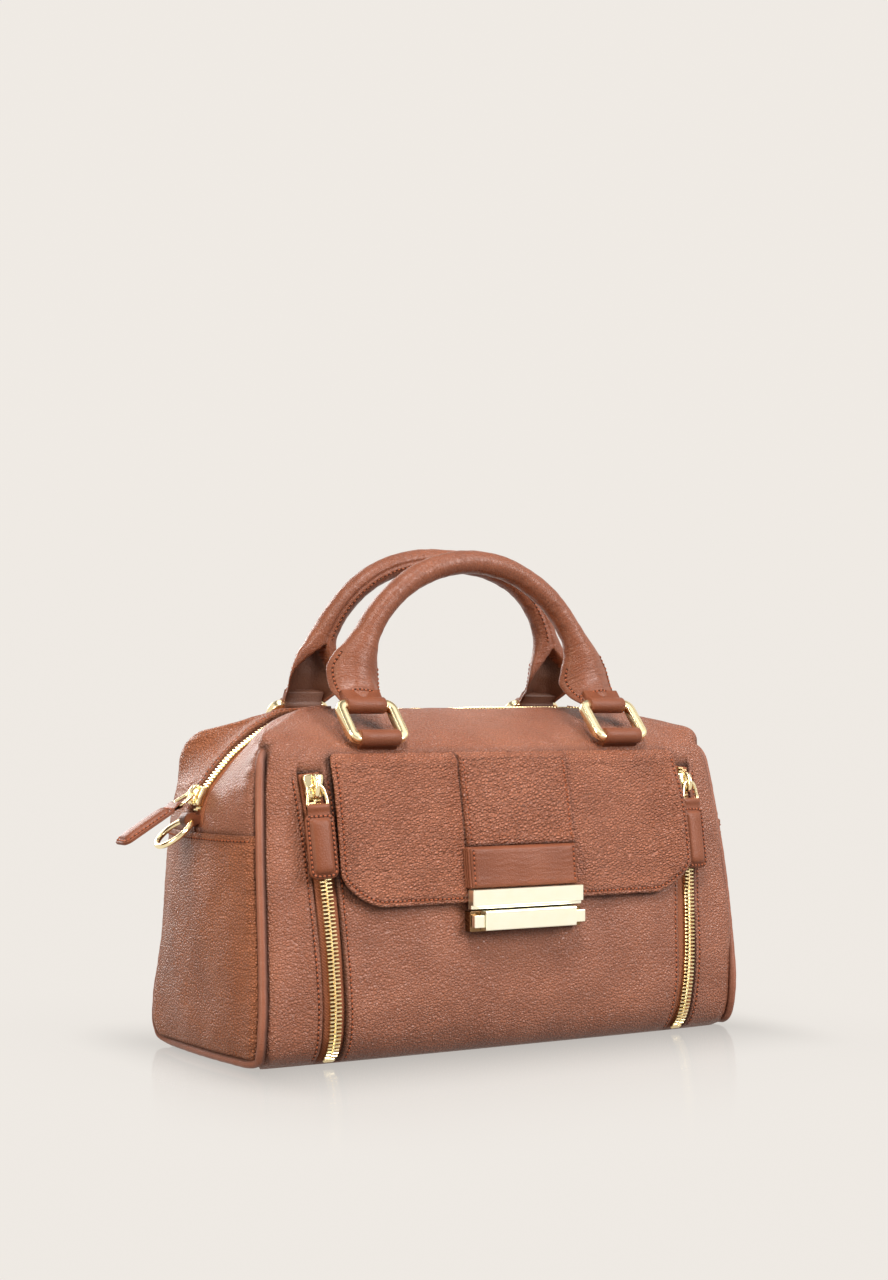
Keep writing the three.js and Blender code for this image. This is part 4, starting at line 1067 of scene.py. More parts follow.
def makePull(name, node, origin, side, up, out, lift, tabLength, lean=0.0, size=1.17):
    side, up, out = (np.array(v, float) for v in (side, up, out))
    origin = np.array(origin, float)
    def onZip(points):
        points = np.asarray(points, float) * size
        return origin + points[:, :1] * side + points[:, 1:2] * up + points[:, 2:3] * out
    swing = math.radians(lift)
    pullUp, pullOut = (up * math.cos(swing) - out * math.sin(swing),
                       up * math.sin(swing) + out * math.cos(swing))
    pivot = origin + out * pullForm["barHeight"]
    c, s = math.cos(math.radians(lean)), math.sin(math.radians(lean))
    hangSide, hangUp = side * c + pullUp * s, pullUp * c - side * s
    def onPull(points):
        points = np.asarray(points, float)
        return pivot + points[:, :1] * hangSide + points[:, 1:2] * hangUp + points[:, 2:3] * pullOut

    # slider: waisted plate with two side wings, a raised shield and a bridge over it
    body = Builder()
    half = [(4.4, 4.9), (4.7, 3.4), (4.3, 1.4), (3.7, -0.6), (4.1, -2.4), (3.8, -4.2), (2.6, -5.0)]
    top = [(2.2, 5.3)]
    outline = np.array(top + half + [(-x, y) for x, y in half[::-1]] + [(-2.2, 5.3)])[::-1]
    outline = resample(np.concatenate([outline, outline[:1]]), 0.8)[:-1]
    body.add(*slab(lambda inset: offsetOutline(outline, inset),
                   [(0.3, -0.2), (0, 0.2), (0, 2.4), (0.22, 3.0), (0.7, 3.4)], onZip))
    arch = np.array([(0, 4.4 * math.cos(a), 2.8 + 3.6 * math.sin(a) ** 0.8)
                     for a in np.linspace(0.06, math.pi - 0.06, 22)])
    body.add(*tube(onZip(arch), 1.3, 10, tuple(side))[:2])
    body.piece(name + "Slider", paleGold, "bag", "gold_metal", (node + "_slider",))

    # link: wire bent to a long loop round the bridge
    high, low = pullForm["linkBack"], pullForm["linkBack"] - pullForm["linkLength"]
    wide = pullForm["linkHalf"] - pullForm["wire"]
    half = [(0, low + 0.8), (wide * 0.72, low + 0.8), (wide, low + 2.2), (wide * 0.93, low + 5.4),
            (wide * 0.72, high - 2.6), (wide * 0.36, high - 0.9)]
    loop = np.array(half + [(0, high - 0.7)] + [(-x, y) for x, y in half[:0:-1]])
    loop = catmull(np.concatenate([loop[-2:], loop, loop[:3]]), 10)[20:-20]
    loop = resample(loop, 0.6)
    ring = Builder()
    ring.add(*tube(onPull(np.column_stack([loop, np.zeros(len(loop))])), pullForm["wire"], 10,
                   tuple(pullOut))[:2])
    ring.piece(name + "Link", paleGold, "bag", "gold_metal", (node + "_link",))

    # tab: stitched border round a padded middle, with a neck folded over the link
    barY = low + pullForm["wire"]
    topY = barY - pullForm["neckLength"]
    thick = pullForm["tabThick"] / 2
    tab = Builder()
    lowY, highY, turn = topY - tabLength, topY + 0.2, pullForm["tabRound"]
    def outlineAt(inset):
        least = min(2.4, pullForm["tabHalf"] - inset - 0.05) if inset > 2.2 else 0.06
        return roundedOutline(pullForm["tabHalf"] - inset, lowY + inset, highY - inset,
                              max(turn - inset, least), 8, max(turn - 0.6 - inset, least))
    pad = pullForm["pad"]
    layers = [(1.1, -thick), (0.35, -thick + 0.25), (0, -thick + 0.6), (0.1, -0.2), (0.25, 0), (0.1, 0.2),
              (0, thick - 0.6), (0.35, thick - 0.2),
              (1.0, thick), (1.9, thick - 0.08), (2.3, thick), (2.6, thick + pad * 0.36),
              (3.0, thick + pad * 0.6), (3.7, thick + pad * 0.82),
              (4.6, thick + pad * 0.95), (5.8, thick + pad * 1.03), (7.0, thick + pad * 1.06)]
    tab.add(*slab(outlineAt, layers, onPull))
    neck = np.array([(barY - 5.0, thick * 0.85), (barY - 2.5, thick * 0.95), (barY - 0.6, 1.55),
                     (barY + 0.9, 1.3), (barY + 1.6, 0.0),
                     (barY + 0.9, -1.3), (barY - 0.6, -1.55), (barY - 2.5, -thick * 0.95),
                     (barY - 5.0, -thick * 0.85)])
    neck = catmull(neck, 4)
    widths = np.array([-1, -0.94, -0.8, 0, 0.8, 0.94, 1]) * pullForm["neckHalf"]
    squeeze = np.array([0.55, 0.9, 1, 1, 1, 0.9, 0.55])
    sheet = np.stack([np.stack([np.full(len(neck), w), barY + (neck[:, 0] - barY) * (0.9 + 0.1 * s),
                                neck[:, 1] * s], -1)
                      for w, s in zip(widths, squeeze)], 1)
    faces = [tuple(f) for f in gridFaces(len(neck), len(widths))]
    tab.add(onPull(sheet.reshape(-1, 3)), faces)
    tab.piece(name + "Tab", plainLeather, "bag", "smooth_leather", (node + "_tab",))

    seam = resample(np.concatenate([outlineAt(1.35), outlineAt(1.35)[:1]]), 0.8)
    path = onPull(np.column_stack([seam, np.full(len(seam), thick - 0.04)]))
    stitchRun(threads, marks, path, np.broadcast_to(pullOut, path.shape), pitch=2.3)


# The right pull hangs lower and is smaller than the left one
frontPulls = {-1: {"z": 133.0, "tabLength": 31, "lean": 1.6, "size": 1.17},
              1: {"z": 130.8, "tabLength": 32.2, "lean": 0.0, "size": 1.0}}
threads, marks = Builder(), Builder()
for side, name, node in ((-1, "leftZip", "left_zip"), (1, "rightZip", "right_zip")):
    form = frontPulls[side]
    z = form["z"]
    x = side * frontZipX(z)
    spread = np.array([1, -(float(faceAt(x + 0.5, z)) - float(faceAt(x - 0.5, z))), 0])
    rise = np.array([0, -(float(faceAt(x, z + 0.5)) - float(faceAt(x, z - 0.5))), 1])
    rise /= np.linalg.norm(rise)
    out = unit(np.cross(spread, rise))
    across = unit(np.cross(rise, out))
    makePull(name, node, (x, -float(faceAt(x, z)), z), across, np.cross(out, across), out, -1,
             form["tabLength"], form["lean"], form["size"])

zipLow = np.array([-float(bodyAt["endX"](124.0)), 0, 124.0])
zipHigh = np.array([-float(bodyAt["endX"](130.0)), 0, 130.0])
zipUp = unit(zipHigh - zipLow)
zipOut = np.array([-zipUp[2], 0, zipUp[0]])
zipSide = unit(np.cross(zipUp, zipOut))
makePull("topZip", "top_zip", (-float(bodyAt["endX"](127.0)), 0, 127.0), zipSide, zipUp, zipOut, 36, 31,
         size=1.0)
print("zip pulls made")


# Flap with its middle strip and the leather tab that carries the lock

def flapInner(x, z):
    drop = np.clip((flapForm["topZ"] - z) / (flapForm["topZ"] - flapForm["lowZ"]), 0, 1)
    middle = bodyAt["faceY"](z)
    raised = flapForm["rightRaise"] * smoothStep(x, 88, 103) * smoothStep(z, 76, 90)
    raised = raised * (1 - smoothStep(z, 126, 142))
    raised = raised + flapForm["leftRaise"] * smoothStep(-x, 88, 102) * (1 - smoothStep(z, 128, 146))
    flattened = middle - flapForm["flatness"] * (middle - faceAt(x, z))
    return flattened + flapForm["standTop"] * (1 - drop) + flapForm["standLow"] * drop + raised


def flapOuter(x, z):
    return flapInner(x, z) + flapForm["thick"]


def flapLift(x, z):
    points = np.stack([x, 0 * x, z], -1)
    wave = 0.45 * ripple(points, 52, 61) + 0.14 * ripple(points, 20, 62)
    # the strip's left edge is laid over the flap, which swells a little on both sides of it
    wave += 0.5 * hump(np.abs(x + 34) - 9, 6) + 0.3 * hump(x - 43, 6)
    return wave


def makeFlap():
    t = np.linspace(0, 1, flapForm["rows"])
    z = flapForm["lowZ"] + (flapForm["topZ"] - flapForm["lowZ"]) * (0.5 - 0.5 * np.cos(np.pi * t)) ** 0.95
    u = np.sin(np.linspace(-1, 1, flapForm["columns"]) * np.pi / 2 * 0.985) / math.sin(np.pi / 2 * 0.985)
    close = np.array([-1.2, -0.7, -0.35, 0, 0.35, 0.7, 1.2])
    u = np.sort(np.concatenate([u, (close - flapForm["stripLeft"]) / flapForm["left"],
                                (close + flapForm["stripRight"]) / flapForm["rightLow"]]))
    gridZ = z[:, None] + 0 * u[None, :]
    gridX = np.where(u[None, :] < 0, flapReach(gridZ, -1), flapReach(gridZ, 1)) * u[None, :]
    lineZ = np.linspace(flapForm["lowZ"], flapForm["topZ"], 500)
    leftX, rightX = -flapReach(lineZ, -1), flapReach(lineZ, 1)
    border = np.concatenate([np.stack([leftX, lineZ], -1), np.stack([rightX, lineZ], -1),
                             np.stack([np.linspace(leftX[0], rightX[0], 300),
                                       np.full(300, flapForm["lowZ"])], -1),
                             np.stack([np.linspace(leftX[-1], rightX[-1], 300),
                                       np.full(300, flapForm["topZ"])], -1)])
    flat = np.stack([gridX, gridZ], -1).reshape(-1, 2)
    inset = np.concatenate([np.sqrt(((part[:, None] - border[None]) ** 2).sum(-1)).min(1)
                            for part in np.array_split(flat, 24)]).reshape(gridX.shape)
    topSide = flapForm["topZ"] - gridZ
    roll = rolledEdge(inset, flapForm["edge"])
    outer = flapInner(gridX, gridZ) + flapForm["thick"] * (0.5 + 0.5 * roll)
    outer = outer + flapLift(gridX, gridZ) * smoothStep(inset, 0, 6)
    stitchDip = 0.45 * hump(inset - flapForm["stitch"], 0.7) * (topSide > 4)
    outer += 0.5 * hump(inset - flapForm["swell"], 2.0) - stitchDip
    outer -= 1.4 * (1 - rolledEdge(topSide, 3.5))
    inner = flapInner(gridX, gridZ) + flapForm["thick"] * (0.5 - 0.5 * roll)
    front = np.stack([gridX, -outer, gridZ], -1)
    back = np.stack([gridX, -inner, gridZ], -1)
    count = gridZ.shape
    shape = Builder()
    # painted shade in the stitch groove and along the strip's edges; the underside is painted half dark
    dim = np.maximum(0.35 * hump(inset - flapForm["stitch"], 0.5) * (topSide > 4),
                     0.9 * hump(gridX + flapForm["stripLeft"], 0.5) * (gridZ > 76))
    dim = np.maximum(dim, 0.4 * hump(gridX - flapForm["stripRight"], 0.5) * (gridZ > 80))
    shape.add(front, gridFaces(*count), front, dim)
    shape.add(back, gridFaces(*count)[:, ::-1], back, 0 * dim + 0.5)
    shape.piece("frontFlap", flapLeather, "bag", "leather", ("flap",))


makeFlap()


def onFlap(x, z):
    return flapOuter(x, z) + flapLift(x, z)


# Plate of leather lying on the flap, rounded at its sides; extra adds height, shaded gives the painted
# shade on its face, and its underside is painted dark
def makeOverlay(name, node, material, form, edge, columns, rowCount, extra, shaded):
    centre, halfWidth, lowZ, highZ, thick = (form[key]
                                             for key in ("centre", "halfWidth", "lowZ", "highZ", "thick"))
    u = np.sin(np.linspace(-1, 1, columns) * np.pi / 2 * 0.97) / math.sin(np.pi / 2 * 0.97)
    t = 0.5 - 0.5 * np.cos(np.pi * np.linspace(0, 1, rowCount))
    gridZ = lowZ + (highZ - lowZ) * t[:, None] + 0 * u[None, :]
    gridX = centre + halfWidth * u[None, :] + 0 * gridZ
    inset = np.minimum(halfWidth - np.abs(gridX - centre), np.minimum(gridZ - lowZ, highZ - gridZ))
    base = onFlap(gridX, gridZ)
    outer = base + 0.15 + thick * (0.2 + 0.8 * rolledEdge(inset, edge)) + extra(gridX, gridZ, inset)
    front = np.stack([gridX, -outer, gridZ], -1)
    back = np.stack([gridX, -(base - 0.6), gridZ], -1)
    shape = Builder()
    shape.add(front, gridFaces(rowCount, columns), front, shaded(gridX, gridZ, inset))
    shape.add(back, gridFaces(rowCount, columns)[:, ::-1], back, 0 * gridX + 0.6)
    # side walls join the two sheets
    edgeIndex = ([r * columns for r in range(rowCount)]
                 + [(rowCount - 1) * columns + c for c in range(1, columns)]
                 + [r * columns + columns - 1 for r in range(rowCount - 2, -1, -1)]
                 + [c for c in range(columns - 2, 0, -1)])
    total = rowCount * columns
    walls = [(a, b, b + total, a + total) for a, b in zip(edgeIndex, edgeIndex[1:] + edgeIndex[:1])]
    shape.faces.extend(walls)
    shape.piece(name, material, "bag", "leather" if material is stripLeather else "smooth_leather", (node,))

    def surface(x, z):
        deep = np.full(np.shape(x), 5.0)
        return onFlap(x, z) + 0.15 + thick + extra(np.asarray(x, float), np.asarray(z, float), deep)
    return surface


stripForm = {"centre": 0.9, "halfWidth": 32.3, "lowZ": 102.3, "highZ": 147.6, "thick": 1.3, "stitch": 2.1}


def stripExtra(x, z, inset):
    points = np.stack(np.broadcast_arrays(x, 0 * z, z), -1)
    gather = 0.9 * hump(z - 105.5, 2.6) * (0.6 + 0.4 * np.sin(x * 1.35 + 1.5 * ripple(points, 9, 71)))
    fold = 0.6 * hump(x - stripForm["centre"] + stripForm["halfWidth"] - 0.9, 0.9)
    seam = 0.3 * hump(np.abs(x - stripForm["centre"]) - (stripForm["halfWidth"] - stripForm["stitch"]), 0.6)
    return gather + fold - seam - 0.9 * (1 - rolledEdge(flapForm["topZ"] - z, 3.5))


def stripShade(x, z, inset):
    seam = 0.3 * hump(inset - stripForm["stitch"], 0.5) * (z > 105)
    return np.maximum(0.85 * hump(z - 102.6, 1.1), seam)


stripSurface = makeOverlay("flapStrip", "flap_strip", stripLeather, stripForm, 1.2, 60, 50, stripExtra,
                           stripShade)

lockTabForm = {"centre": 0.0, "halfWidth": 32.3, "lowZ": 81.8, "highZ": 102.4, "thick": 4.0, "stitch": 2.3}


def lockTabExtra(x, z, inset):
    points = np.stack(np.broadcast_arrays(x, 0 * z, z), -1)
    wrinkle = 0.10 * np.sin(z * 2.3 + 1.8 * ripple(points, 14, 81)) * smoothStep(inset, 1, 4)
    return wrinkle - 0.3 * hump(np.abs(x) - (lockTabForm["halfWidth"] - lockTabForm["stitch"]), 0.6)


def lockTabShade(x, z, inset):
    seam = 0.3 * hump(np.abs(x) - lockTabForm["halfWidth"] + lockTabForm["stitch"], 0.5)
    return np.maximum(0.7 * hump(z - 81.6, 0.9), seam)


lockTabSurface = makeOverlay("lockTab", "lock_tab", plainLeather, lockTabForm, 1.9, 70, 30, lockTabExtra,
                             lockTabShade)

# layered edge on the left of the lock tab
layers = Builder()
for k in range(3):
    z = np.linspace(lockTabForm["lowZ"] + 0.4, lockTabForm["highZ"] - 0.4, 24)
    x = np.full(24, -lockTabForm["halfWidth"] - 0.15 - 0.35 * (2 - k))
    layers.add(*tube(np.stack([x, -(onFlap(x, z) + 0.6 + 1.3 * k), z], -1), 0.62, 8, (0, 1, 0)))
layers.piece("lockTabEdges", plainLeather, "bag", "smooth_leather")
print("flap made")


# Lock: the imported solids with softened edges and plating
def plate(nodeName, bevel, material, segments=3):
    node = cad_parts[nodeName]
    node.data.materials.clear()
    node.data.materials.append(material)
    weld = node.modifiers.new("joinFaces", "WELD")
    weld.merge_threshold = 0.00001
    soften = node.modifiers.new("softEdges", "BEVEL")
    soften.width = bevel * mm
    soften.segments = segments
    soften.limit_method = "ANGLE"
    soften.angle_limit = math.radians(40)


for nodeName, bevel, material in (("lock_plate", 0.5, lockGold), ("lock_base", 0.4, shadedLockGold),
                                  ("lock_bar", 0.35, lockGold),
                                  ("lock_button_left", 0.35, lockGold),
                                  ("lock_button_right", 0.35, lockGold)):
    plate(nodeName, bevel, material)
print("lock plated")


# Handles: rolled leather on a curve, opened flat at the feet where they are sewn to the ring straps

handleForm = {
    "part": [0.035, 0.075, 0.13, 0.22, 0.31, 0.41, 0.51, 0.67, 1.0],
    "width": [12.0, 13.2, 14.4, 15.4, 13.0, 8.8, 6.7, 6.1, 6.1],
    "thick": [2.4, 2.8, 3.4, 4.2, 5.4, 6.2, 6.2, 6.1, 6.1],
    "curl": [1.6, 3.0, 5.2, 6.6, 4.0, 1.2, 0, 0, 0],
    "sides": 60, "step": 1.1, "loopX": 73.6, "barY": 33.748, "barZ": 172.229, "bendLength": 14.0,
    "scoop": -0.55, "scoopWide": 0.95, "scoopFrom": 0.17, "scoopTo": 0.41,
    "footTo": 0.33, "footSeam": 0.86, "crossSeam": 0.085, "gripSeamFrom": 0.44,
}
handleAt = {key: smoothColumn(handleForm["part"], handleForm[key]) for key in ("width", "thick", "curl")}
handleRows = ({"name": "frontHandle", "node": "front_handle", "body": "front_grip", "side": -1,
               "rise": 74.5, "roundness": (2.0, 2.0), "bend": 16, "skew": 0},
              {"name": "backHandle", "node": "back_handle", "body": "back_grip", "side": 1, "rise": 77.2,
               "roundness": (2.15, 2.75), "bend": 15.6, "skew": 4})


def handlePath(part, foot, row):
    power = row["roundness"][foot > 0]
    x = foot * (handleForm["loopX"] - 1) * np.clip(1 - part ** power, 0, None) ** (1 / power)
    bent = row["bend"] + row["skew"] * x / handleForm["loopX"]
    inward = bent * (1 - np.exp(-part * row["rise"] / handleForm["bendLength"]))
    return np.stack([x, row["side"] * (handleForm["barY"] - inward),
                     handleForm["barZ"] + part * row["rise"]], -1)


def makeHandle(row):
    grid = np.linspace(handleForm["part"][0], 1.0, 900)
    line = np.concatenate([handlePath(grid, -1, row), handlePath(grid[::-1][1:], 1, row)])
    parts = np.concatenate([grid, grid[::-1][1:]])
    run = lengthAlong(line)
    want = np.linspace(0, run[-1], int(run[-1] / handleForm["step"]))
    path = np.stack([np.interp(want, run, line[:, k]) for k in range(3)], -1)
    part = np.interp(want, run, parts)
    along = unit(np.gradient(path, axis=0))
    across = unit(np.cross([0.0, 1.0, 0.0], along))
    through = unit(np.cross(along, across))
    s = {key: handleAt[key](part)[:, None] for key in handleAt}
    angle = np.linspace(0, 2 * np.pi, handleForm["sides"], endpoint=False)[None, :]
    inner = -row["side"] * np.sin(angle)
    edge = np.abs(np.cos(angle))
    opened = (part - handleForm["scoopFrom"]) / (handleForm["scoopTo"] - handleForm["scoopFrom"])
    mouth = handleForm["scoopWide"] * (1 - np.clip(opened, 0, 1) ** 1.5)
    hollow = np.where(inner > 0, smoothStep(mouth[:, None] - edge, -0.04, 0.07), 0)
    hollow = hollow * (part < handleForm["scoopTo"])[:, None]
    depth = s["thick"] * np.sin(angle) * (1 + (handleForm["scoop"] - 1) * hollow)
    seam = np.where(inner > 0, hump(edge, 0.13), 0) * smoothStep(part, 0.38, 0.46)[:, None]
    depth = depth + row["side"] * 0.7 * seam
    curl = -row["side"] * s["curl"] * np.cos(angle) ** 2
    wide = s["width"] * np.cos(angle)
    points = path[:, None] + across[:, None] * wide[...,
                                                    None] + through[:, None] * (depth + curl)[..., None]
    radial = unit(across[:, None] * np.cos(angle)[..., None] + through[:, None] * np.sin(angle)[..., None])
    rolled = np.stack(np.broadcast_arrays(want[:, None], 6.0 * np.sin(angle), 6.0 * np.cos(angle)), -1)
    creased = 0.10 * ripple(rolled, 5.5, 91)
    foot = smoothStep(0.36 - part, 0.0, 0.2)[:, None]
    creased = creased + 0.28 * foot * ripple(points * [1, 1, 0.5], 8, 92) + 0.12 * ripple(points, 22, 93)
    points = points + radial * creased[..., None]
    lay = np.stack(np.broadcast_arrays(want[:, None], angle * 6.0, 0.0), -1)
    count = points.shape[:2]
    faces = cappedFaces(*count)
    piece = makePiece(row["name"], points, faces, handleLeather, row["body"],
                      (row["node"],), lay)
    # faces in the hollow of each flare take the dark copy of the leather: painted shade
    piece.data.materials.append(paintedShadeLeather)
    dark = hollow > 0.5
    dark = dark & np.roll(dark, -1, 1)
    dark = (dark[:-1] & dark[1:]).reshape(-1)
    piece.data.polygons.foreach_set("material_index",
                                    np.concatenate([dark, [False, False]]).astype(np.int32))

    # stitched border of the feet, on the outer face
    thread, mark = Builder(), Builder()
    outerSide = np.where(row["side"] * np.sin(angle[0]) > 0)[0]
    footRows = np.where(part < handleForm["footTo"])[0]
    for group in (footRows[footRows < count[0] / 2], footRows[footRows >= count[0] / 2]):
        for edge in (handleForm["footSeam"], -handleForm["footSeam"]):
            column = outerSide[np.argmin(np.abs(np.cos(angle[0][outerSide]) - edge))]
            line = points[group, column]
            stitchRun(thread, mark, line, radial[group, column], pitch=2.4, offset=0.05)
        level = group[np.argmin(np.abs(part[group] - handleForm["crossSeam"]))]
        ring = outerSide[np.argsort(np.cos(angle[0][outerSide]))]
        ring = ring[np.abs(np.cos(angle[0][ring])) < 0.88]
        line = points[level, ring]
        stitchRun(thread, mark, resample(line, 0.7),
                  np.broadcast_to([0, row["side"], 0.1], resample(line, 0.7).shape), pitch=2.4, offset=0.05)
    run = np.where(part > handleForm["gripSeamFrom"])[0]
    column = int(np.argmin(np.abs(np.cos(angle[0]) - 0.3) + 9 * (inner[0] < 0)))
    stitchRun(thread, mark, points[run, column], radial[run, column], pitch=2.6, offset=0.05, size=0.62)
    thread.piece(row["name"] + "Stitches", seamThread, row["body"], "smooth_leather")
    mark.piece(row["name"] + "NeedleHoleShades", needleHoleShade, row["body"], "smooth_leather")
    return piece


# Loop of leather folded round a bar: keyhole outline in Y and Z, drawn out along X
def foldedLoop(shape, x, width, y, z, radius, tail, tailAngle, tailThick):
    open1 = math.asin(min(0.98, tailThick / 2 / radius))
    angle = np.linspace(open1, 2 * np.pi - open1, 34)
    arc = np.stack([radius * np.cos(angle), radius * np.sin(angle)], -1)
    end = np.array([(tail - 0.4, -tailThick / 2), (tail, -tailThick / 2 + 0.4), (tail, tailThick / 2 - 0.4),
                    (tail - 0.4, tailThick / 2)])
    outline = np.concatenate([arc, end])
    c, s = math.cos(tailAngle), math.sin(tailAngle)
    rings = []
    for place, inset in ((-1, 0.7), (-0.975, 0.25), (-0.94, 0), (-0.5, 0), (0, 0), (0.5, 0), (0.94, 0),
                         (0.975, 0.25), (1, 0.7)):
        shrunk = offsetOutline(outline, inset)
        flat = np.stack([shrunk[:, 0] * c - shrunk[:, 1] * s, shrunk[:, 0] * s + shrunk[:, 1] * c], -1)
        rings.append(np.column_stack([np.full(len(flat), x + place * width / 2), y + flat[:, 0],
                                      z + flat[:, 1]]))
    count = len(outline)
    faces = cappedFaces(len(rings), count)
    lay = np.stack(np.broadcast_arrays(np.arange(count)[None, :] * 0.7,
                                       np.arange(len(rings))[:, None] * 3.0, 0.0), -1)
    shape.add(np.concatenate(rings), faces, lay)


ringForm = {"halfWidth": 17.2, "length": 26.6, "bar": 5.4, "depth": 4.6, "turn": 3.4, "barSpacing": 21.3,
            "tilt": 42.0, "lowerY": 48.0, "lowerZ": 156.4}


def makeRing(name, node, body, x, side):
    low = (ringForm["barSpacing"] - ringForm["length"]) / 2
    path = roundedOutline(ringForm["halfWidth"] - ringForm["bar"] / 2, low + ringForm["bar"] / 2,
                          low + ringForm["length"] - ringForm["bar"] / 2, ringForm["turn"], 8)
    path = resample(np.concatenate([path, path[:1]]), 0.8)[:-1]
    way = unit(np.roll(path, -1, 0) - np.roll(path, 1, 0))
    outward = np.stack([way[:, 1], -way[:, 0]], -1)
    angle = np.linspace(0, 2 * np.pi, 24, endpoint=False)
    a = np.sign(np.cos(angle)) * np.abs(np.cos(angle)) ** 0.42 * ringForm["bar"] / 2
    b = np.sign(np.sin(angle)) * np.abs(np.sin(angle)) ** 0.42 * ringForm["depth"] / 2
    flat = np.concatenate([path[:, None] + outward[:, None] * a[None, :, None],
                           np.broadcast_to(b[None, :, None], (len(path), len(a), 1))], -1)
    tilt = math.radians(90 + side * ringForm["tilt"])
    y = flat[..., 1] * math.cos(tilt) - flat[..., 2] * math.sin(tilt)
    z = flat[..., 1] * math.sin(tilt) + flat[..., 2] * math.cos(tilt)
    points = np.stack([flat[..., 0] + x, y + side * ringForm["lowerY"], z + ringForm["lowerZ"]], -1)
    count = points.shape[:2]
    faces = gridFaces(count[0] + 1, count[1], wrap=True) % (count[0] * count[1])
    makePiece(name, points, faces, paleGold, body, (node,))


for row in handleRows:
    makeHandle(row)
    place = "front" if row["side"] < 0 else "back"
    straps = Builder()
    for foot, label in ((-1, "Left"), (1, "Right")):
        x = foot * handleForm["loopX"]
        lowEnd = label.lower()
        makeRing(place + "Ring" + label, place + "_ring_" + lowEnd, place + "_rings", x, row["side"])
        holder = Builder()
        foldedLoop(holder, x, 22.4, row["side"] * ringForm["lowerY"], ringForm["lowerZ"], 4.2, 9.0,
                   math.radians(-90 - row["side"] * 40), 5.0)
        holder.piece(place + "Loop" + label, plainLeather, "bag", "smooth_leather",
                     (place + "_loop_" + lowEnd,))
        bar, up = handlePath(np.array(0.0), foot, row), handlePath(np.array(0.12), foot, row)
        foldedLoop(straps, x, 22.0, bar[1], bar[2], 4.2, 9.0, math.atan2(up[2] - bar[2], up[1] - bar[1]),
                   4.0)
    strapPiece = straps.piece(place + "HandleStraps", plainLeather, row["body"], "smooth_leather")
    # faces of the straps turned towards the bag take the dark copy of the leather: painted shade
    strapPiece.data.materials.append(paintedShadeLeather)
    for face in strapPiece.data.polygons:
        face.material_index = 1 if face.normal.y * -row["side"] > 0.35 else 0
print("handles and rings made")


# Strap rings in small loops under the ends of the top zip
strapForm = {"z": 116.4, "radius": 3.6, "width": 7.0, "ring": 10.0, "wire": 1.4, "drop": 38.0}
for side, label in ((-1, "Left"), (1, "Right")):
    x = side * (float(bodyAt["endX"](strapForm["z"])) + 0.3 + strapForm["radius"])
    fold = math.radians(strapForm["drop"])
    angle = np.linspace(0, 2 * np.pi, 72, endpoint=False)
    outX = strapForm["ring"] * (1 - np.cos(angle))
    path = np.stack([x + side * outX * math.cos(fold), strapForm["ring"] * np.sin(angle),
                     strapForm["z"] - outX * math.sin(fold)], -1)
    turn = np.linspace(0, 2 * np.pi, 16, endpoint=False)
    centre = path.mean(0)
    radial = unit(path - centre)
    axis = np.cross(radial[0], radial[18])
    points = path[:, None] + strapForm["wire"] * (radial[:, None] * np.cos(turn)[None, :, None]
                                                  + axis * np.sin(turn)[None, :, None])
    faces = gridFaces(73, 16, wrap=True) % (72 * 16)
    makePiece("strapRing" + label, points, faces, paleGold, label.lower() + "_strap_ring",
              ("strap_ring_" + label.lower(),))

    loop = Builder()
    foldedLoop(loop, 0, strapForm["width"], 0, 0, strapForm["radius"], 7.5, 0.0, 4.6)
    points = np.concatenate(loop.points)
    turned = np.stack([x - side * points[:, 1], points[:, 0], strapForm["z"] + points[:, 2]], -1)
    makePiece("strapLoop" + label, turned, loop.faces, plainLeather, "bag",
              ("strap_loop_" + label.lower(),),
              np.concatenate(loop.lays))
print("strap rings made")


# Seams: rows of stitches on the panels, flap and lock tab

def lineWhere(skin, key, value, columns, rowMask):
    path = []
    for r in np.where(rowMask)[0]:
        keys = skin[key][r, columns]
        order = np.argsort(keys)
        path.append([np.interp(value, keys[order], skin["points"][r, columns, k][order]) for k in range(3)])
    return np.array(path)


leftHalf = np.arange(0, quarterCount)
rightHalf = np.arange(quarterCount - 1, halfCount)
heights = frontSkin["heights"]
zipRows = (heights > 2.2) & (heights < 138.5)
for half in (leftHalf, rightHalf):
    onFace = half[(np.minimum(half, halfCount - 1 - half) >= columnStarts[2])]
    for key in ("fromIn", "fromOut"):
        line = lineWhere(frontSkin, key, zipForm["stitch"], onFace, zipRows)
        stitchRun(threads, marks, line, np.broadcast_to([0, -1.0, 0.02], line.shape))
for name, points in endSkins.items():
    depth = zipForm["seamZ"] - points[:-2, points.shape[1] // 2, 2]
    r = int(np.argmin(np.abs(depth - endForm["stitch"])))
    line = points[r, 4:-4]
    out = -1.0 if name.endswith("Left") else 1.0
    stitchRun(threads, marks, line, np.broadcast_to([out, 0, 0.05], line.shape))

topRows = np.where((heights > 118) & (heights < 170.2))[0]
for half in (leftHalf, rightHalf):
    ends = half[np.minimum(half, halfCount - 1 - half) < columnStarts[1]]
    line = []
    for r in topRows:
        y = np.abs(backSkin["points"][r, ends, 1])
        order = np.argsort(y)
        line.append([np.interp(zipForm["slot"] + zipForm["topStitch"], y[order],
                               backSkin["points"][r, ends, k][order]) for k in range(3)])
    line = np.array(line)
    slope = unit(np.gradient(line, axis=0))
    out = unit(np.cross(slope, [0, 1.0, 0]))
    out *= np.sign((out * line).sum(-1).mean())
    stitchRun(threads, marks, line, out)

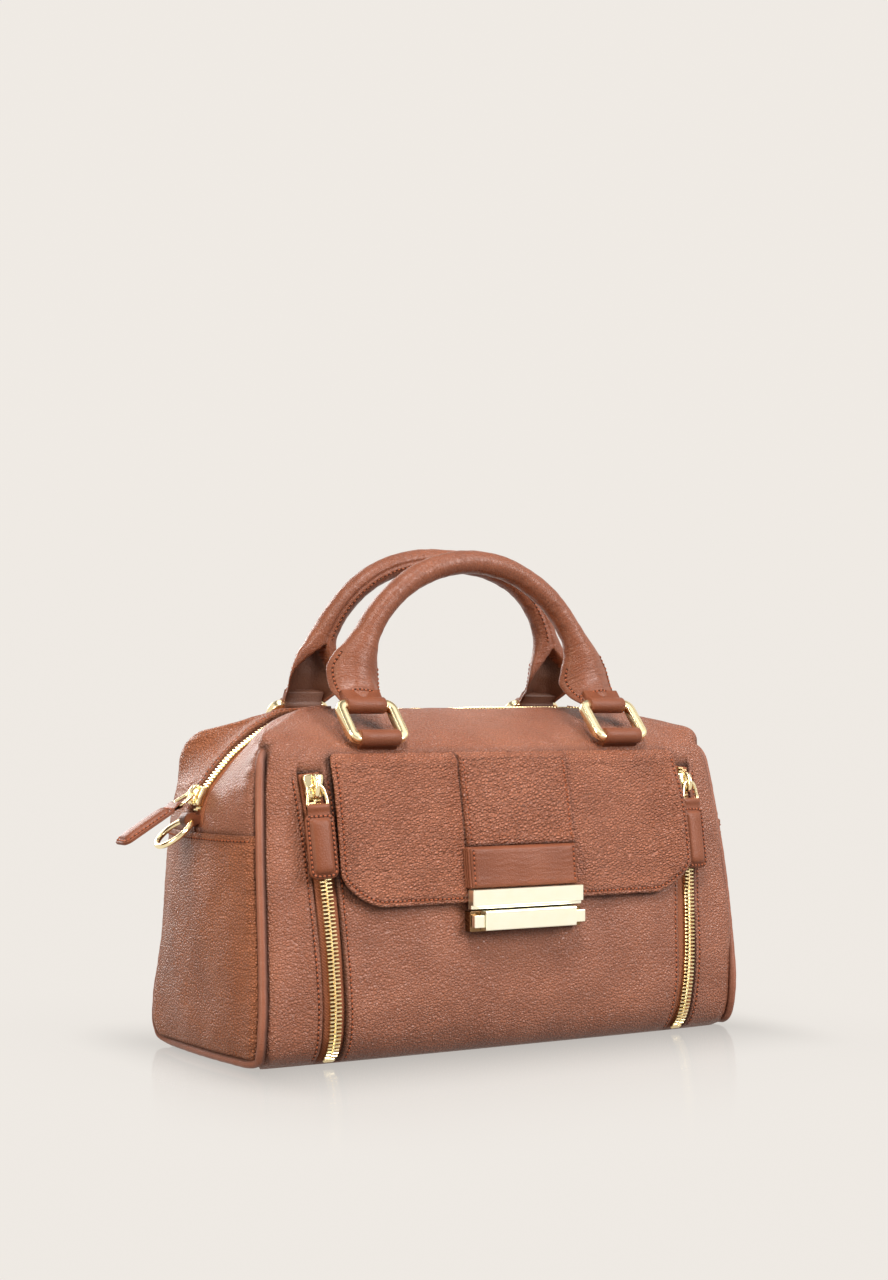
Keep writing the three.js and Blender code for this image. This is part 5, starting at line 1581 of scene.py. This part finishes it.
# Line of the flap's topstitching, a little inside its edge
def flapSeam(hand, inset):
    z = np.concatenate([np.linspace(145.5, 92.0, 80), np.linspace(92.0, flapForm["lowZ"] + 0.02, 200)[1:]])
    x = hand * flapReach(z, hand)
    inner = np.linspace(x[-1], hand * 34.0, 160)[1:]
    path = resample(np.stack([np.concatenate([x, inner]),
                              np.concatenate([z, np.full(159, flapForm["lowZ"])])], -1), 0.8)
    way = unit(np.gradient(path, axis=0))
    return resample(path + np.stack([-way[:, 1], way[:, 0]], -1) * inset * hand * -1, 0.8)


for hand in (-1, 1):
    fullX, fullZ = flapSeam(hand, flapForm["stitch"]).T
    y = -(flapInner(fullX, fullZ) + flapForm["thick"]
          + flapLift(fullX, fullZ) * smoothStep(np.full(len(fullX), flapForm["stitch"]), 0, 6)
          + 0.5 * hump(flapForm["stitch"] - flapForm["swell"], 2.0) - 0.36)
    line = np.stack([fullX, y, fullZ], -1)
    stitchRun(threads, marks, line, np.broadcast_to([0, -1.0, 0.03], line.shape))
    z2 = np.linspace(146.0, 104.5, 120)
    x2 = np.full(120, stripForm["centre"] + hand * (stripForm["halfWidth"] - stripForm["stitch"]))
    line = np.stack([x2, -stripSurface(x2, z2), z2], -1)
    stitchRun(threads, marks, line, np.broadcast_to([0, -1.0, 0.03], line.shape))
    z3 = np.linspace(101.0, 83.0, 60)
    x3 = np.full(60, hand * (lockTabForm["halfWidth"] - lockTabForm["stitch"]))
    line = np.stack([x3, -lockTabSurface(x3, z3), z3], -1)
    stitchRun(threads, marks, line, np.broadcast_to([0, -1.0, 0.03], line.shape))
threads.piece("seamStitches", seamThread, "bag", "smooth_leather")
marks.piece("needleHoleShades", needleHoleShade, "bag", "smooth_leather")
print("seams stitched")


# Studio: a pale sweep, soft boxes and the camera

studio = {"pale": (0.863, 0.823, 0.776), "far": 3.6, "curve": 1.4, "wall": 4.2,
          "floorGlow": 0.989, "wallGlow": 0.996, "share": 0.03, "frontShade": 0.78}


def makeSweep():
    profile = [(0.02, 0.0), (0.5, 0.0), (1.2, 0.0), (studio["far"] - studio["curve"], 0.0)]
    for k in range(1, 13):
        a = math.pi / 2 * k / 12
        profile.append((studio["far"] - studio["curve"] + studio["curve"] * math.sin(a),
                        studio["curve"] * (1 - math.cos(a))))
    profile.append((studio["far"], studio["wall"]))
    around = np.linspace(0, 2 * np.pi, 96, endpoint=False)
    points = [(r * math.cos(a), r * math.sin(a), z - 0.0003) for r, z in profile for a in around]
    mesh = bpy.data.meshes.new("studioSweep")
    faces = [tuple(f) for f in gridFaces(len(profile), 96, wrap=True)] + [tuple(range(96))[::-1]]
    mesh.from_pydata(points, [], faces)
    mesh.polygons.foreach_set("use_smooth", np.ones(len(mesh.polygons), bool))
    material, tree, shader = newMaterial("paleSweep")
    setInputs(shader, Base_Color=(*(c * studio["share"] for c in studio["pale"]), 1), Roughness=0.9,
              Specular_IOR_Level=0.0)
    where = addNode(tree, "ShaderNodeTexCoord", -900, -200)
    split = addNode(tree, "ShaderNodeSeparateXYZ", -700, -200)
    tree.links.new(where.outputs["Object"], split.inputs[0])
    rise = addNode(tree, "ShaderNodeMapRange", -500, -200, interpolation_type="SMOOTHSTEP")
    tree.links.new(split.outputs[2], rise.inputs["Value"])
    setInputs(rise, From_Min=0.0, From_Max=0.9)
    front = addNode(tree, "ShaderNodeMapRange", -500, -480, interpolation_type="SMOOTHSTEP")
    tree.links.new(split.outputs[1], front.inputs["Value"])
    setInputs(front, From_Min=-2.6, From_Max=-0.9, To_Min=studio["frontShade"], To_Max=1.0)
    glow = toneRamp(tree, rise.outputs[0], [(0.0, tuple(c * studio["floorGlow"] for c in studio["pale"])),
                                            (1.0, tuple(c * studio["wallGlow"] for c in studio["pale"]))],
                    -300, -200)
    # how far a spot on the floor lies outside the base: a soft painted shadow round the bag's foot, and a
    # mirror image that fades
    apart = where.outputs["Object"]
    for step, operation, amount in ((0, "ABSOLUTE", None), (1, "SUBTRACT", (0.139, 0.046, 20.0)),
                                    (2, "MAXIMUM", (0.0, 0.0, 0.0)), (3, "MULTIPLY", (2.0, 1.0, 1.0)),
                                    (4, "LENGTH", None)):
        node = addNode(tree, "ShaderNodeVectorMath", -900 + 160 * step, -760, operation=operation)
        tree.links.new(apart, node.inputs[0])
        if amount:
            node.inputs[1].default_value = amount
        apart = node.outputs["Value"] if operation == "LENGTH" else node.outputs[0]
    paintedContactShadow = addNode(tree, "ShaderNodeMapRange", -240, -620, interpolation_type="SMOOTHSTEP")
    tree.links.new(apart, paintedContactShadow.inputs["Value"])
    setInputs(paintedContactShadow, From_Min=-0.03, From_Max=0.10, To_Min=0.7, To_Max=1.0)
    shaded = addNode(tree, "ShaderNodeVectorMath", -60, -200, operation="SCALE")
    tree.links.new(glow, shaded.inputs[0])
    tree.links.new(mathNode(tree, "MULTIPLY", front.outputs[0], paintedContactShadow.outputs[0], -200, -420),
                   shaded.inputs["Scale"])
    glow = shaded.outputs[0]
    tree.links.new(glow, shader.inputs["Emission Color"])
    setInputs(shader, Emission_Strength=1.0)
    polish = addNode(tree, "ShaderNodeBsdfGlossy", 0, -300)
    polish.inputs["Roughness"].default_value = 0.1
    blend = addNode(tree, "ShaderNodeMixShader", 300, 0)
    mirrored = addNode(tree, "ShaderNodeMapRange", -300, 300)
    tree.links.new(apart, mirrored.inputs["Value"])
    setInputs(mirrored, From_Min=0.0, From_Max=0.26, To_Min=0.58, To_Max=0.0)
    facing = addNode(tree, "ShaderNodeLayerWeight", -300, 520)
    low = mathNode(tree, "MULTIPLY", mirrored.outputs[0], facing.outputs["Facing"], -200, 300)
    tree.links.new(mathNode(tree, "POWER", low, 2.0, -60, 300), blend.inputs[0])
    tree.links.new(shader.outputs[0], blend.inputs[1])
    tree.links.new(polish.outputs[0], blend.inputs[2])
    tree.links.new(blend.outputs[0], tree.nodes["Material Output"].inputs["Surface"])
    mesh.materials.append(material)
    sweep = bpy.data.objects.new("studioSweep", mesh)
    bpy.context.scene.collection.objects.link(sweep)
    sweep.visible_diffuse = False
    return sweep


# The floor mirrors the bag but not the lamps, so no bright patches lie on it
unlit = bpy.data.collections.new("unlitSweep")
unlit.objects.link(makeSweep())
unlit.collection_objects[0].light_linking.link_state = "EXCLUDE"

softBoxes = (
    {"name": "keyBox", "place": (1.25, -2.0, 1.3), "size": (1.0, 1.3), "power": 61.0,
     "tint": (1.0, 0.98, 0.955)},
    {"name": "rakeBox", "place": (-0.45, -0.95, 2.0), "size": (0.5, 0.5), "power": 31.0,
     "tint": (1.0, 0.98, 0.955)},
    {"name": "leftStrip", "place": (-2.25, -0.85, 0.65), "size": (0.5, 1.7), "power": 40.0,
     "tint": (1.0, 0.88, 0.68)},
    {"name": "topBox", "place": (-0.1, 0.1, 2.2), "size": (1.6, 0.9), "power": 7.5,
     "tint": (1.0, 0.98, 0.96)},
    {"name": "ringBox", "place": (1.35, -0.75, 2.2), "size": (1.2, 1.0), "power": 5.0,
     "tint": (1.0, 0.98, 0.96)},
    {"name": "backBox", "place": (-0.2, 2.5, 1.1), "size": (1.2, 1.2), "power": 36.0,
     "tint": (1.0, 0.98, 0.96)},
)
for row in softBoxes:
    lamp = bpy.data.lights.new(row["name"], "AREA")
    lamp.shape = "RECTANGLE"
    lamp.size, lamp.size_y = row["size"]
    lamp.energy = row["power"]
    lamp.color = row["tint"]
    holder = bpy.data.objects.new(row["name"], lamp)
    bpy.context.scene.collection.objects.link(holder)
    holder.location = row["place"]
    holder.visible_camera = False
    holder.light_linking.receiver_collection = unlit
    holder.rotation_euler = (Vector((0, 0, 0.1)) - Vector(row["place"])).to_track_quat("-Z", "Y").to_euler()

world = bpy.data.worlds.new("studioAir")
bpy.context.scene.world = world
world.use_nodes = True
air = world.node_tree
airPlace = addNode(air, "ShaderNodeTexCoord", -900, 0)
airSplit = addNode(air, "ShaderNodeSeparateXYZ", -700, 0)
air.links.new(airPlace.outputs["Generated"], airSplit.inputs[0])
airLevel = mathNode(air, "MULTIPLY_ADD", airSplit.outputs[2], 0.5, -520, 0)
airLevel.node.inputs[2].default_value = 0.5
airTone = toneRamp(air, airLevel,
                   [(0.0, (0.22, 0.185, 0.15)), (0.5, (0.20, 0.18, 0.15)), (1.0, (0.30, 0.28, 0.255))],
                   -300, 0)
air.links.new(airTone, air.nodes["Background"].inputs["Color"])
bpy.context.scene.view_settings.view_transform = "Standard"

cameraForm = {"place": (-0.617964, -0.980707, 0.173297), "yaw": 0.55777, "pitch": 0.02877, "lens": 61.875}
eye = bpy.data.cameras.new("photoCamera")
eye.lens = cameraForm["lens"]
eye.sensor_width = 36.0
eye.clip_start = 0.01
camera = bpy.data.objects.new("photoCamera", eye)
bpy.context.scene.collection.objects.link(camera)
camera.location = cameraForm["place"]
camera.rotation_euler = (math.pi / 2 + cameraForm["pitch"], 0, -cameraForm["yaw"])
bpy.context.scene.camera = camera
print("studio set")
